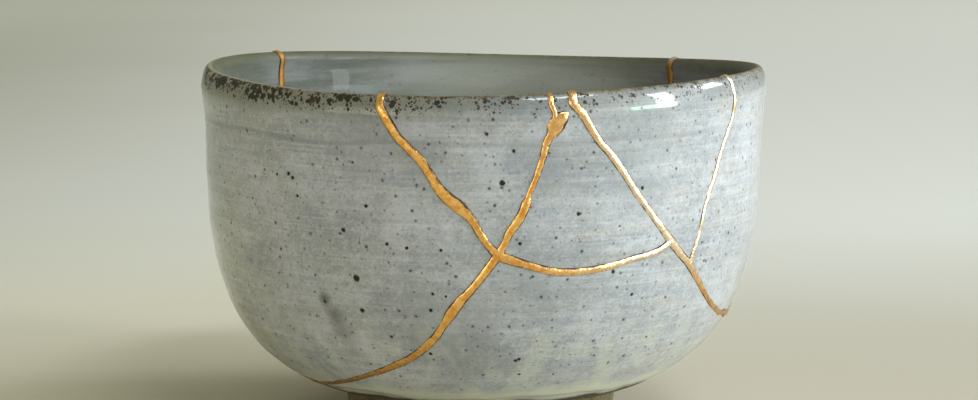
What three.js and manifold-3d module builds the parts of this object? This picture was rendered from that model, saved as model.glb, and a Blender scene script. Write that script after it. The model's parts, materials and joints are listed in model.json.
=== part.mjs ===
// A thrown stoneware tea bowl that broke into seven sherds and was mended with gold.
// Millimetres, +Z up, origin under the middle of the bowl. The front of the bowl faces -Y.
// Angles run round the bowl from the front (0) by the right side (90) to the back (180).
import * as THREE from "three";
import { mergeVertices } from "three/addons/utils/BufferGeometryUtils.js";
import Module from "manifold-3d";

const wasm = await Module();
wasm.setup();

// Thrown body
const bodyRadius = 58.8; // outside of the upright wall
const shoulderLevel = 71.5; // where the wall ends and the lip begins to round over
const bellyDepth = 66.6; // from that level down to where the belly's curve meets the axis
const bellyExponent = 3.5; // 2 is an ellipse, and higher is squarer
const lipWall = 3.9;
const floorWall = 5.7;
const lipRise = 2;
const lipFlare = 1.1;
const flareHeight = 14;

// Trimmed foot
const footRadius = 29;
const footTaper = 0.8;
const footRingWidth = 6.4;
const footRecess = 5;
const recessTaper = 1.2;
const footEdge = 0.7;

// Marks of the hand: the rim rises and falls, the mouth is not quite round, the foot sits aside
const rimSwing = 1.1;
const rimSwingAngle = 74;
const rimTilt = 0.3;
const rimTiltAngle = -90;
const outOfRound = 0.3;
const outOfRoundAngle = 20;
const footOffset = 0.85;

// Gold seams
const seamProud = 0.35; // above the glaze
const seamWaist = 0.5; // thickness of the filling in the middle of the wall
const chipDepth = 1.2;
const seamClearance = 0.3; // between gold and clay
const seamStep = 7; // along a crack

// Fineness of the turned body
const bodySegments = 48;
const bellySteps = 9;
const innerSteps = 10;
const lipSteps = 4;

// Cracks as [angle, share of the wall's height from foot to lip], each from the rim to its end
const pointFrontMeeting = [3, 0.554];
const pointRightMeeting = [39.2, 0.561];
const pointLowerMeeting = [45.8, 0.474];
const pointBackLeftMeeting = [-125, 0.15];
const pointBackRightMeeting = [130, 0.3];
const fullCircle = 360;
const cracks = {
  frontLeft: {
    width: 2,
    route: [
      [-19.5, 1],
      [-17.5, 0.951],
      [-13.8, 0.875],
      [-8.5, 0.763],
      [-4.5, 0.702],
      [-0.5, 0.621],
      pointFrontMeeting,
      [9, 0.519],
      [16.8, 0.494],
      [24.8, 0.503],
      [35, 0.531],
      pointRightMeeting,
    ],
  },
  frontRound: {
    width: 1.7,
    route: [
      [12, 1],
      [12.8, 0.965],
      [12.2, 0.915],
      [10.2, 0.805],
      [8, 0.71],
      [5, 0.62],
      pointFrontMeeting,
      [0, 0.488],
      [-4.2, 0.409],
      [-7.5, 0.336],
      [-12.2, 0.255],
      [-19, 0.195],
      [-27.8, 0.146],
      [-40, 0.097],
      [-60, 0.058],
      [-82, 0.05],
      [-104, 0.085],
      pointBackLeftMeeting,
      [-142, 0.22],
      [-162, 0.275],
      [-186, 0.3],
      [-210, 0.275],
      [pointBackRightMeeting[0] - fullCircle, pointBackRightMeeting[1]],
    ],
  },
  frontRight: {
    width: 1.8,
    route: [
      [16.2, 1],
      [18.2, 0.964],
      [22, 0.876],
      [28.5, 0.752],
      [34.2, 0.644],
      pointRightMeeting,
      [42.5, 0.514],
      pointLowerMeeting,
      [52.2, 0.385],
      [57, 0.337],
      [62.2, 0.304],
      [74, 0.275],
      [92, 0.285],
      [112, 0.315],
      pointBackRightMeeting,
      [132, 0.297],
    ],
  },
  right: {
    width: 1.4,
    route: [
      [55.5, 1],
      [56.2, 0.95],
      [54.5, 0.863],
      [51, 0.738],
      [49.2, 0.675],
      [47.4, 0.57],
      pointLowerMeeting,
    ],
  },
  backRight: {
    width: 1.9,
    route: [[131, 1], [129.5, 0.9], [130.5, 0.7], [128, 0.5], pointBackRightMeeting],
  },
  backLeft: {
    width: 1.9,
    route: [[-126, 1], [-125, 0.93], [-124, 0.7], [-127, 0.42], pointBackLeftMeeting],
  },
};

// A chip of the glaze beside the second crack, filled with gold on the outside only
const chip = { width: 2.3, route: [[12.6, 0.935], [14, 0.962], [15.2, 0.982]] };

// Each sherd with a place that lies well inside it
const sherds = {
  left_sherd: [-70, 0.6],
  front_left_sherd: [-2, 0.88],
  front_middle_sherd: [15, 0.7],
  front_right_sherd: [40, 0.8],
  right_sherd: [88, 0.65],
  back_sherd: [180, 0.65],
  base_sherd_with_foot: [20, 0.25],
};

const glaze = { color: 0x9aa096, roughness: 0.3, metalness: 0 };
const gold = { color: 0xd9a04e, roughness: 0.35, metalness: 1 };

const degrees = Math.PI / 180;
const sameCorner = 1e-4; // corners closer than this are one

// Height of the foot where it meets the belly's curve
const footHeight =
  shoulderLevel -
  bellyDepth * (1 - (footRadius / bodyRadius) ** bellyExponent) ** (1 / bellyExponent);
const wallHeight = shoulderLevel - footHeight;

// The belly is a superellipse: its parameter is 0 at the shoulder and a quarter turn on the axis
function bellyPoint(turn) {
  return new THREE.Vector2(
    bodyRadius * Math.cos(turn) ** (2 / bellyExponent),
    shoulderLevel - bellyDepth * Math.sin(turn) ** (2 / bellyExponent),
  );
}

function bellyInward(turn) {
  const power = 2 - 2 / bellyExponent;
  return new THREE.Vector2(
    -bellyDepth * Math.cos(turn) ** power,
    bodyRadius * Math.sin(turn) ** power,
  ).normalize();
}

function bellyTurn(level) {
  return Math.asin(((shoulderLevel - level) / bellyDepth) ** (bellyExponent / 2));
}

// A place on the clay's section and the direction out of the clay there. Across runs from the
// outside (0) over the lip to the inside (1), and it lies between them on the lip alone.
function skin(turn, across) {
  const inward = bellyInward(turn);
  const outside = bellyPoint(turn);
  if (across === 0) return { at: outside, out: inward.clone().negate() };
  if (across === 1) {
    const wall = lipWall + (floorWall - lipWall) * Math.sin(turn) ** 2;
    return { at: outside.addScaledVector(inward, wall), out: inward };
  }
  const round = Math.PI * across;
  return {
    at: new THREE.Vector2(
      bodyRadius - (lipWall / 2) * (1 - Math.cos(round)),
      shoulderLevel + lipRise * Math.sin(round),
    ),
    out: new THREE.Vector2(
      Math.cos(round) / (lipWall / 2),
      Math.sin(round) / lipRise,
    ).normalize(),
  };
}

// Takes a point of the section round the bowl and gives it the marks of the hand
function place(at, angle) {
  const share = Math.max(0, (at.y - footHeight) / wallHeight);
  const flare = Math.min(1, Math.max(0, 1 - (shoulderLevel - at.y) / flareHeight));
  const swing = rimSwing * Math.cos(2 * (angle - rimSwingAngle * degrees));
  const tilt = rimTilt * Math.cos(angle - rimTiltAngle * degrees);
  const oval = outOfRound * Math.cos(2 * (angle - outOfRoundAngle * degrees));
  const swell = (lipFlare * flare ** 2 + oval * share ** 2) / bodyRadius;
  const radius = at.x * (1 + swell);
  return new THREE.Vector3(
    radius * Math.sin(angle) - footOffset * (1 - Math.min(1, share)),
    -radius * Math.cos(angle),
    at.y + (swing + tilt) * share ** 2,
  );
}

// Turns a geometry into a solid that can be joined and cut
function solidFrom(geometry) {
  geometry.deleteAttribute("normal");
  geometry.deleteAttribute("uv");
  const merged = mergeVertices(geometry, sameCorner);
  const corners = merged.index.array;
  const kept = [];
  for (let i = 0; i < corners.length; i += 3) {
    const [a, b, c] = corners.slice(i, i + 3);
    if (a !== b && b !== c && c !== a) kept.push(a, b, c);
  }
  return new wasm.Manifold(
    new wasm.Mesh({
      numProp: 3,
      vertProperties: merged.attributes.position.array,
      triVerts: new Uint32Array(kept),
    }),
  );
}

// Moves every vertex of a geometry
function reshape(geometry, move) {
  const position = geometry.attributes.position;
  const vertex = new THREE.Vector3();
  for (let i = 0; i < position.count; i += 1) {
    vertex.copy(move(vertex.fromBufferAttribute(position, i)));
    position.setXYZ(i, vertex.x, vertex.y, vertex.z);
  }
  return geometry;
}

function evenly(steps, value) {
  return Array.from({ length: steps + 1 }, (_, i) => value(i / steps));
}

// The whole bowl before it broke: foot, belly, lip, inside and floor in one profile
function unbrokenBowl() {
  const footTurn = bellyTurn(footHeight);
  const groundRadius = footRadius - footTaper;
  const recessRadius = groundRadius - footRingWidth;
  const profile = [
    new THREE.Vector2(0, footRecess),
    new THREE.Vector2(recessRadius - recessTaper, footRecess),
    new THREE.Vector2(recessRadius, footEdge),
    new THREE.Vector2(recessRadius + footEdge, 0),
    new THREE.Vector2(groundRadius - footEdge, 0),
    new THREE.Vector2(groundRadius, footEdge),
    ...evenly(bellySteps, (t) => skin(footTurn * (1 - t), 0).at),
    ...evenly(lipSteps, (t) => skin(0, t).at).slice(1, -1),
    ...evenly(innerSteps, (t) => skin((Math.PI / 2) * t, 1).at),
  ];
  profile[profile.length - 1].x = 0;
  const turned = new THREE.LatheGeometry(profile, bodySegments);
  return solidFrom(
    reshape(turned, (v) => {
      const radius = Math.hypot(v.x, v.z);
      const angle = radius > sameCorner ? Math.atan2(v.x, v.z) : 0;
      return place(new THREE.Vector2(radius, v.y), angle);
    }),
  );
}

// Even stations along a crack, as angle and belly turn, from the rim to its end
function crackStations(route) {
  const perDegree = bodyRadius * degrees;
  const corners = route.map(
    ([angle, share]) => new THREE.Vector3(angle * perDegree, share * wallHeight, 0),
  );
  const curve = new THREE.CatmullRomCurve3(corners, false, "centripetal");
  const steps = Math.ceil(curve.getLength() / seamStep);
  return curve.getSpacedPoints(steps).map((p) => ({
    angle: p.x / bodyRadius,
    turn: bellyTurn(footHeight + Math.min(p.y, wallHeight)),
  }));
}

// A point of the skin in space with the direction out of the clay
function station(angle, turn, across) {
  const { at, out } = skin(turn, across);
  const centre = place(at, angle);
  const above = place(at.clone().addScaledVector(out, seamProud), angle);
  return { centre, out: above.sub(centre).normalize() };
}

// Gives each station its direction of travel and its sideways direction
function withFrames(stations) {
  return stations.map((here, i) => {
    const before = stations[Math.max(0, i - 1)].centre;
    const after = stations[Math.min(stations.length - 1, i + 1)].centre;
    const along = after.clone().sub(before).normalize();
    const out = here.out.clone().addScaledVector(along, -here.out.dot(along)).normalize();
    return { centre: here.centre, out, side: out.clone().cross(along) };
  });
}

// A crown drawn as [sideways, out of the clay] follows the path, and its two edges run down to
// the keel, which has a left and a right corner at every station
function keeledStrip(path, crown, keels) {
  const rows = path.map(({ centre, out, side }, i) => [
    keels[i].left,
    ...crown.map(([x, y]) => centre.clone().addScaledVector(side, x).addScaledVector(out, y)),
    keels[i].right,
  ]);
  const corners = [];
  const last = rows[rows.length - 1];
  for (let j = 1; j < rows[0].length; j += 1) {
    for (let i = 1; i < rows.length; i += 1) {
      const [a, b, c, d] = [rows[i - 1][j - 1], rows[i - 1][j], rows[i][j], rows[i][j - 1]];
      corners.push(a, d, c, a, c, b);
    }
    corners.push(rows[0][0], rows[0][j - 1], rows[0][j]);
    corners.push(last[0], last[j], last[j - 1]);
  }
  return solidFrom(new THREE.BufferGeometry().setFromPoints(corners));
}

// The filling of a crack, or the room for it with a clearance all round. Its crown runs up the
// outside, over the lip and down the inside, and all of it reaches to a waist inside the wall.
function crackSolid({ width, route }, clearance) {
  const line = crackStations(route);
  const rimAngle = line[0].angle;
  const outer = line.map(({ angle, turn }) => station(angle, turn, 0));
  const inner = line.map(({ angle, turn }) => station(angle, turn, 1));
  const lip = evenly(lipSteps, (t) => station(rimAngle, 0, t)).slice(1, -1);
  const path = withFrames([...outer.toReversed(), ...lip, ...inner]);
  const waists = outer.map(({ centre }, k) => {
    const middle = centre.clone().lerp(inner[k].centre, 0.5);
    return acrossFrom(middle, path[outer.length - 1 - k].side, seamWaist / 2 + clearance);
  });
  return keeledStrip(path, crownSection(width, clearance), [
    ...waists.toReversed(),
    ...lip.map(() => waists[0]),
    ...waists,
  ]);
}

function acrossFrom(middle, side, half) {
  return {
    left: middle.clone().addScaledVector(side, -half),
    right: middle.clone().addScaledVector(side, half),
  };
}

// The chip's filling is a strip on the outside with its keel under the glaze
function chipSolid(clearance) {
  const line = crackStations(chip.route).map(({ angle, turn }) => station(angle, turn, 0));
  const path = withFrames(line);
  const keels = path.map(({ centre, out }) => {
    const keel = centre.clone().addScaledVector(out, -chipDepth - 2 * clearance);
    return { left: keel, right: keel };
  });
  return keeledStrip(path, crownSection(chip.width, clearance), keels);
}

// Gold stands proud with a narrower crown. The room for it opens straight out of the clay.
function crownSection(width, clearance) {
  const half = width / 2 + clearance;
  const crown = clearance > 0 ? half : half / 2;
  const height = seamProud + clearance;
  return [
    [-half, 0],
    [-crown, height],
    [crown, height],
    [half, 0],
  ];
}

function joined(solids) {
  return solids.reduce((whole, solid) => whole.add(solid));
}

function named(name, solid, finish) {
  const mesh = solid.getMesh();
  const geometry = new THREE.BufferGeometry();
  geometry.setAttribute("position", new THREE.BufferAttribute(mesh.vertProperties, 3));
  geometry.setIndex(new THREE.BufferAttribute(mesh.triVerts, 1));
  geometry.computeVertexNormals();
  const piece = new THREE.Mesh(geometry, new THREE.MeshStandardMaterial(finish));
  piece.name = name;
  return piece;
}

// Distance from a seat to the nearest corner of a solid
function distanceTo(seat, solid) {
  const corners = solid.getMesh().vertProperties;
  const corner = new THREE.Vector3();
  let nearest = Infinity;
  for (let i = 0; i < corners.length; i += 3) {
    nearest = Math.min(nearest, corner.fromArray(corners, i).distanceTo(seat));
  }
  return nearest;
}

const group = new THREE.Group();
group.name = "kintsugi_bowl";

function allSeams(clearance) {
  return joined([
    ...Object.values(cracks).map((crack) => crackSolid(crack, clearance)),
    chipSolid(clearance),
  ]);
}

group.add(named("gold_seams", allSeams(0), gold));

const broken = unbrokenBowl().subtract(allSeams(seamClearance)).decompose();
for (const [name, [angle, share]] of Object.entries(sherds)) {
  const turn = bellyTurn(footHeight + share * wallHeight);
  const seat = station(angle * degrees, turn, 0).centre;
  const [sherd] = broken.toSorted((a, b) => distanceTo(seat, a) - distanceTo(seat, b));
  group.add(named(name, sherd, glaze));
}

export default group;
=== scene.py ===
"""A thrown stoneware bowl, broken into seven sherds and mended with gold."""

import enum
import json
import logging
import math
from dataclasses import dataclass, field
from typing import Any, Optional, Sequence, Union

import bmesh
import bpy
import numpy as np
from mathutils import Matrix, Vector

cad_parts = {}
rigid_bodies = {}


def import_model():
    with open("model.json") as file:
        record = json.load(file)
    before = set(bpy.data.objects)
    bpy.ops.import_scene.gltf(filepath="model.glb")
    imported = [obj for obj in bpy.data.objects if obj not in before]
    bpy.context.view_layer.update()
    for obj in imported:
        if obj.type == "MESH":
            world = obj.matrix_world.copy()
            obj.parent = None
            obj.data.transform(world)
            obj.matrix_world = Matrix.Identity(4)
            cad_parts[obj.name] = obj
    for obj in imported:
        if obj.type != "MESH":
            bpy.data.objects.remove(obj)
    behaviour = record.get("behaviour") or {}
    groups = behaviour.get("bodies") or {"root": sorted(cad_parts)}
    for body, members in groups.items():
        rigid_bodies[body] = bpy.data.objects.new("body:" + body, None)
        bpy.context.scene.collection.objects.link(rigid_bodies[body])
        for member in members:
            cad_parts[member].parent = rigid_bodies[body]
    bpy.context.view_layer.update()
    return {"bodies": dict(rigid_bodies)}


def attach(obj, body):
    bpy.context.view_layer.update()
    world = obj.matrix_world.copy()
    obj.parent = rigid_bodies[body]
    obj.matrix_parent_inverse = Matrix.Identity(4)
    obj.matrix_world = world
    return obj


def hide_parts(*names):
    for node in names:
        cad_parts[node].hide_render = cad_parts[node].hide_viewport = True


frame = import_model()

LOG = logging.getLogger("kintsugi_bowl")
MM = 0.001
BODY = next(iter(frame["bodies"]))
UV_NAME = "UVMap"
# Length in metres below which an edge counts as having no size.
SLIVER = 1e-7
# The glaze's lower edge in millimetres: its level, how far it swings and the length of a wave.
EDGE_LEVEL = 10.2
EDGE_SWING = 5.0
EDGE_WAVE = 17
# Lengths in millimetres of the waves in which a crack strays, and over which straying fades in.
STRAY_WAVES = (34.0, 17.0, 8.0, 4.1)
STRAY_FADE = 6
MEETING_FADE = 5
# Angles in degrees above which an edge stays sharp.
GOLD_CREASE = 50
SHERD_CREASE = 40
Colour = tuple[float, float, float, float]
Number = Union[float, "Wire"]


def srgb(red: float, green: float, blue: float) -> Colour:
    """Returns the linear colour of a displayed one.

    Args:
        red: Displayed red, 0 to 255.
        green: Displayed green, 0 to 255.
        blue: Displayed blue, 0 to 255.

    Returns:
        The linear colour with an alpha of one.
    """
    channels = []
    for level in (red, green, blue):
        share = level / 255
        channels.append(share / 12.92 if share <= 0.04045 else ((share + 0.055) / 1.055) ** 2.4)
    return (*channels, 1.0)


class Wire:
    """A node's output that takes part in Python arithmetic."""

    def __init__(self, bench: "Bench", socket: bpy.types.NodeSocket) -> None:
        """Keeps the socket and the bench that it belongs to."""
        self.bench = bench
        self.socket = socket

    def _maths(self, operation: str, *values: Number) -> "Wire":
        """Adds one Math node and returns its output."""
        return self.bench.add("ShaderNodeMath", {"operation": operation}, dict(enumerate(values)))

    def __add__(self, other: Number) -> "Wire":
        """Sum."""
        return self._maths("ADD", self, other)

    __radd__ = __add__

    def __sub__(self, other: Number) -> "Wire":
        """Difference."""
        return self._maths("SUBTRACT", self, other)

    def __rsub__(self, other: Number) -> "Wire":
        """Difference from a value on the left."""
        return self._maths("SUBTRACT", other, self)

    def __mul__(self, other: Number) -> "Wire":
        """Product."""
        return self._maths("MULTIPLY", self, other)

    __rmul__ = __mul__

    def __truediv__(self, other: Number) -> "Wire":
        """Quotient."""
        return self._maths("DIVIDE", self, other)

    def __rtruediv__(self, other: Number) -> "Wire":
        """Quotient of a value on the left."""
        return self._maths("DIVIDE", other, self)

    def __pow__(self, power: Number) -> "Wire":
        """Power."""
        return self._maths("POWER", self, power)

    def __neg__(self) -> "Wire":
        """Opposite."""
        return self._maths("MULTIPLY", self, -1.0)

    def at_most(self, other: Number) -> "Wire":
        """The lower of two values."""
        return self._maths("MINIMUM", self, other)

    def at_least(self, other: Number) -> "Wire":
        """The higher of two values."""
        return self._maths("MAXIMUM", self, other)

    def clamp(self) -> "Wire":
        """The value held between 0 and 1."""
        return self.at_least(0.0).at_most(1.0)

    def cosine(self) -> "Wire":
        """Cosine of an angle in radians."""
        return self._maths("COSINE", self)

    def sine(self) -> "Wire":
        """Sine of an angle in radians."""
        return self._maths("SINE", self)

    def size(self) -> "Wire":
        """The value without its sign."""
        return self._maths("ABSOLUTE", self)

    def ease(self, start: float, end: float, low: float = 0.0, high: float = 1.0) -> "Wire":
        """Runs smoothly from one level to another.

        Args:
            start: Value at which the result is low.
            end: Value at which the result is high, above the start.
            low: Result at the start.
            high: Result at the end.

        Returns:
            The eased value.
        """
        sockets = {"Value": self, "From Min": start, "From Max": end, "To Min": low, "To Max": high}
        return self.bench.add("ShaderNodeMapRange", {"interpolation_type": "SMOOTHSTEP"}, sockets)


class Bench:
    """A node tree under construction."""

    def __init__(self, tree: bpy.types.NodeTree) -> None:
        """Keeps the tree."""
        self.tree = tree

    @staticmethod
    def find(sockets: Any, key: Union[str, int]) -> bpy.types.NodeSocket:
        """Finds a socket.

        Args:
            sockets: A node's inputs or outputs.
            key: The socket's place, identifier or name.

        Returns:
            The socket.
        """
        if isinstance(key, int):
            return sockets[key]
        for socket in sockets:
            if socket.identifier == key:
                return socket
        return next(socket for socket in sockets if socket.name == key and socket.enabled)

    def add(
        self,
        kind: str,
        settings: Optional[dict[str, Any]] = None,
        sockets: Optional[dict[Union[str, int], Any]] = None,
        output: Union[str, int] = 0,
    ) -> Wire:
        """Adds any node.

        Args:
            kind: The node's type.
            settings: Its properties, set first.
            sockets: Values or wires of its inputs.
            output: The output to return.

        Returns:
            A wire on that output.
        """
        node = self.tree.nodes.new(kind)
        for name, value in (settings or {}).items():
            setattr(node, name, value)
        for key, value in (sockets or {}).items():
            socket = self.find(node.inputs, key)
            if isinstance(value, Wire):
                self.tree.links.new(value.socket, socket)
            else:
                socket.default_value = value
        return Wire(self, self.find(node.outputs, output))

    def other(self, wire: Wire, output: Union[str, int]) -> Wire:
        """Another output of the node that a wire comes from."""
        return Wire(self, self.find(wire.socket.node.outputs, output))

    def parts(self, vector: Wire) -> tuple[Wire, Wire, Wire]:
        """Splits a vector.

        Args:
            vector: The vector.

        Returns:
            Its three components.
        """
        first = self.add("ShaderNodeSeparateXYZ", None, {0: vector})
        return first, self.other(first, 1), self.other(first, 2)

    def vector(self, x: Number, y: Number, z: Number) -> Wire:
        """Joins three values to a vector."""
        return self.add("ShaderNodeCombineXYZ", None, {0: x, 1: y, 2: z})

    def stretch(self, vector: Wire, by: tuple[float, float, float]) -> Wire:
        """Multiplies a vector by a fixed one, component by component."""
        return self.add("ShaderNodeVectorMath", {"operation": "MULTIPLY"}, {0: vector, 1: by})

    def scaled(self, vector: Wire, by: Number) -> Wire:
        """Multiplies a vector by one number."""
        return self.add("ShaderNodeVectorMath", {"operation": "SCALE"}, {"Vector": vector, "Scale": by})

    def shifted(self, vector: Wire, by: Wire) -> Wire:
        """Adds two vectors."""
        return self.add("ShaderNodeVectorMath", {"operation": "ADD"}, {0: vector, 1: by})

    def place_in_mm(self) -> Wire:
        """The place on the object, in millimetres."""
        return self.stretch(self.add("ShaderNodeTexCoord", output="Object"), (1 / MM, 1 / MM, 1 / MM))

    def skin_marks(self) -> tuple[Wire, Wire]:
        """The two numbers that a piece's UV map carries."""
        return self.parts(self.add("ShaderNodeUVMap", {"uv_map": UV_NAME}))[:2]

    def bump(self, height: Wire, strength: float, depth: float) -> Wire:
        """Makes a normal from a height.

        Args:
            height: The height.
            strength: Share of the bump that shows.
            depth: Depth in metres of a height of one.

        Returns:
            The normal.
        """
        sockets = {"Strength": strength, "Distance": depth, "Height": height}
        return self.add("ShaderNodeBump", None, sockets)

    def noise(self, vector: Wire, scale: float, detail: float = 2.0, roughness: float = 0.5) -> Wire:
        """Adds a noise of one value.

        Args:
            vector: Where the noise is read.
            scale: Waves per unit.
            detail: Number of finer octaves.
            roughness: Strength of the finer octaves.

        Returns:
            The noise, around one half.
        """
        sockets = {"Vector": vector, "Scale": scale, "Detail": detail, "Roughness": roughness}
        return self.add("ShaderNodeTexNoise", None, sockets)

    def bands(self, at: Wire, around: float, up: float, detail: float, roughness: float = 0.5) -> Wire:
        """Adds a noise with scales of its own round the bowl and up the wall.

        Args:
            at: Where the noise is read.
            around: Waves per unit round the bowl.
            up: Waves per unit up the wall.
            detail: Number of finer octaves.
            roughness: Strength of the finer octaves.

        Returns:
            The noise, around one half.
        """
        return self.noise(self.stretch(at, (around, around, up)), 1.0, detail, roughness)

    def shake(self, place: Wire, scale: float, amount: Number, detail: float = 2.0) -> Wire:
        """Makes a random shift that changes from place to place.

        Args:
            place: Where the shift is read.
            scale: Waves per unit.
            amount: Size of the shift.
            detail: Number of finer octaves.

        Returns:
            The shift, around zero.
        """
        sockets = {"Vector": place, "Scale": scale, "Detail": detail}
        noise = self.add("ShaderNodeTexNoise", None, sockets, "Color")
        middle = {0: noise, 1: (0.5, 0.5, 0.5)}
        return self.scaled(self.add("ShaderNodeVectorMath", {"operation": "SUBTRACT"}, middle), amount)

    def near(self, place: Wire, centre: Sequence[float], core: float, rim: float) -> Wire:
        """Marks a round place.

        Args:
            place: Where the mark is read.
            centre: Middle of the mark.
            core: Radius within which the mark is full.
            rim: Radius at which it has faded.

        Returns:
            The mark, from 0 to 1.
        """
        sockets = {0: place, 1: tuple(float(level) for level in centre)}
        distance = self.add("ShaderNodeVectorMath", {"operation": "DISTANCE"}, sockets, "Value")
        return distance.ease(core, rim, 1.0, 0.0)

    def blend(self, share: Number, below: Union[Wire, Colour], above: Union[Wire, Colour]) -> Wire:
        """Mixes two colours.

        Args:
            share: Share of the second colour.
            below: First colour.
            above: Second colour.

        Returns:
            The mixed colour.
        """
        sockets = {"Factor_Float": share, "A_Color": below, "B_Color": above}
        return self.add("ShaderNodeMix", {"data_type": "RGBA"}, sockets, "Result_Color")


class SocketKind(enum.Enum):
    """Kinds of inputs that the geometry trees have."""

    GEOMETRY = "NodeSocketGeometry"
    LENGTH = "NodeSocketFloat"
    COUNT = "NodeSocketInt"
    OBJECT = "NodeSocketObject"
    MATERIAL = "NodeSocketMaterial"


class FormTree(Bench):
    """A Geometry Nodes tree with named inputs."""

    def __init__(self, name: str) -> None:
        """Makes the tree with its geometry input and output."""
        super().__init__(bpy.data.node_groups.new(name, "GeometryNodeTree"))
        self.tree.interface.new_socket("Geometry", in_out="OUTPUT", socket_type=SocketKind.GEOMETRY.value)
        self.source = self.tree.nodes.new("NodeGroupInput")
        self.identifiers: dict[str, str] = {}
        self.start = self.input("Geometry", SocketKind.GEOMETRY)

    def input(self, name: str, kind: SocketKind) -> Wire:
        """Adds a named input.

        Args:
            name: The input's name.
            kind: What it takes.

        Returns:
            A wire on it.
        """
        item = self.tree.interface.new_socket(name, in_out="INPUT", socket_type=kind.value)
        self.identifiers[name] = item.identifier
        return Wire(self, self.find(self.source.outputs, item.identifier))

    def store(
        self, geometry: Wire, name: str, value: Wire, kind: str = "FLOAT", domain: str = "POINT"
    ) -> Wire:
        """Stores a named attribute.

        Args:
            geometry: The geometry that carries it.
            name: The attribute's name.
            value: Its values.
            kind: Its data type.
            domain: Where it is kept.

        Returns:
            The geometry with the attribute.
        """
        settings = {"data_type": kind, "domain": domain}
        sockets = {"Geometry": geometry, "Name": name, "Value": value}
        return self.add("GeometryNodeStoreNamedAttribute", settings, sockets)

    def read(self, name: str) -> Wire:
        """Reads a named attribute of one number."""
        return self.add("GeometryNodeInputNamedAttribute", {"data_type": "FLOAT"}, {"Name": name})

    def forget(self, geometry: Wire, names: Sequence[str]) -> Wire:
        """Removes named attributes.

        Args:
            geometry: The geometry that carries them.
            names: Their names.

        Returns:
            The geometry without them.
        """
        for name in names:
            sockets = {"Geometry": geometry, "Name": name}
            geometry = self.add("GeometryNodeRemoveAttribute", None, sockets)
        return geometry

    def finish(self, geometry: Wire, material: Wire) -> None:
        """Ends the tree in Realize Instances and Set Material.

        Args:
            geometry: The finished geometry.
            material: The material's input.
        """
        solid = self.add("GeometryNodeRealizeInstances", None, {0: geometry})
        dressed = self.add("GeometryNodeSetMaterial", None, {"Geometry": solid, "Material": material})
        end = self.tree.nodes.new("NodeGroupOutput")
        self.tree.links.new(dressed.socket, end.inputs[0])

    def run(self, piece: bpy.types.Object, values: dict[str, Any]) -> bpy.types.Mesh:
        """Runs the tree on an object and returns a plain mesh.

        Args:
            piece: The object that the tree starts from; its modifier is removed again.
            values: The named inputs.

        Returns:
            The resulting mesh.
        """
        modifier = piece.modifiers.new(self.tree.name, "NODES")
        modifier.node_group = self.tree
        for name, value in values.items():
            modifier[self.identifiers[name]] = value
        mesh = evaluated_mesh(piece)
        piece.modifiers.remove(modifier)
        return mesh


def evaluated_mesh(piece: bpy.types.Object) -> bpy.types.Mesh:
    """Makes a plain mesh of what an object's modifiers give.

    Args:
        piece: The object.

    Returns:
        The mesh.
    """
    piece.update_tag()
    bpy.context.view_layer.update()
    graph = bpy.context.evaluated_depsgraph_get()
    return bpy.data.meshes.new_from_object(piece.evaluated_get(graph), depsgraph=graph)


def drop_slivers(mesh: bpy.types.Mesh) -> None:
    """Removes faces and edges that have no size.

    Args:
        mesh: The mesh.
    """
    solid = bmesh.new()
    solid.from_mesh(mesh)
    bmesh.ops.dissolve_degenerate(solid, dist=SLIVER, edges=solid.edges[:])
    solid.to_mesh(mesh)
    solid.free()


def place_in_scene(name: str, mesh: bpy.types.Mesh) -> bpy.types.Object:
    """Makes an object at the origin from a mesh.

    Args:
        name: The object's name.
        mesh: The mesh.

    Returns:
        The object.
    """
    piece = bpy.data.objects.new(name, mesh)
    bpy.context.scene.collection.objects.link(piece)
    return piece


def way_along(points: np.ndarray) -> np.ndarray:
    """The length walked along a line to each of its points."""
    return np.concatenate([[0], np.cumsum(np.linalg.norm(np.diff(points, axis=0), axis=1))])


def marked_line(name: str, points: np.ndarray, marks: dict[str, np.ndarray]) -> bpy.types.Object:
    """Makes a line that carries named numbers at its points.

    Args:
        name: The object's name.
        points: Rows of x, y and z.
        marks: One number for each point, under each name.

    Returns:
        The object.
    """
    mesh = bpy.data.meshes.new(name)
    mesh.from_pydata(points.tolist(), [(row, row + 1) for row in range(len(points) - 1)], [])
    for label, values in marks.items():
        attribute = mesh.attributes.new(label, "FLOAT", "POINT")
        attribute.data.foreach_set("value", values.astype(np.float32))
    return place_in_scene(name, mesh)


class Joining(enum.Enum):
    """Ways in which one closed piece is combined with another."""

    CUT = "DIFFERENCE"
    UNITE = "UNION"
    COMMON = "INTERSECT"


def combine(piece: bpy.types.Object, other: bpy.types.Object, way: Joining) -> bpy.types.Modifier:
    """Adds the modifier that combines a piece with another.

    Args:
        piece: The piece that gets the modifier.
        other: The other piece.
        way: How they are combined.

    Returns:
        The modifier.
    """
    modifier = piece.modifiers.new(other.name, "BOOLEAN")
    modifier.operation, modifier.solver, modifier.object = way.value, "MANIFOLD", other
    return modifier


def smooth(mesh: bpy.types.Mesh, sharp_above: float) -> None:
    """Shades a mesh smoothly apart from its sharp edges.

    Args:
        mesh: The mesh.
        sharp_above: Angle in degrees above which an edge stays sharp.
    """
    mesh.shade_smooth()
    mesh.set_sharp_from_angle(angle=math.radians(sharp_above))


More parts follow.
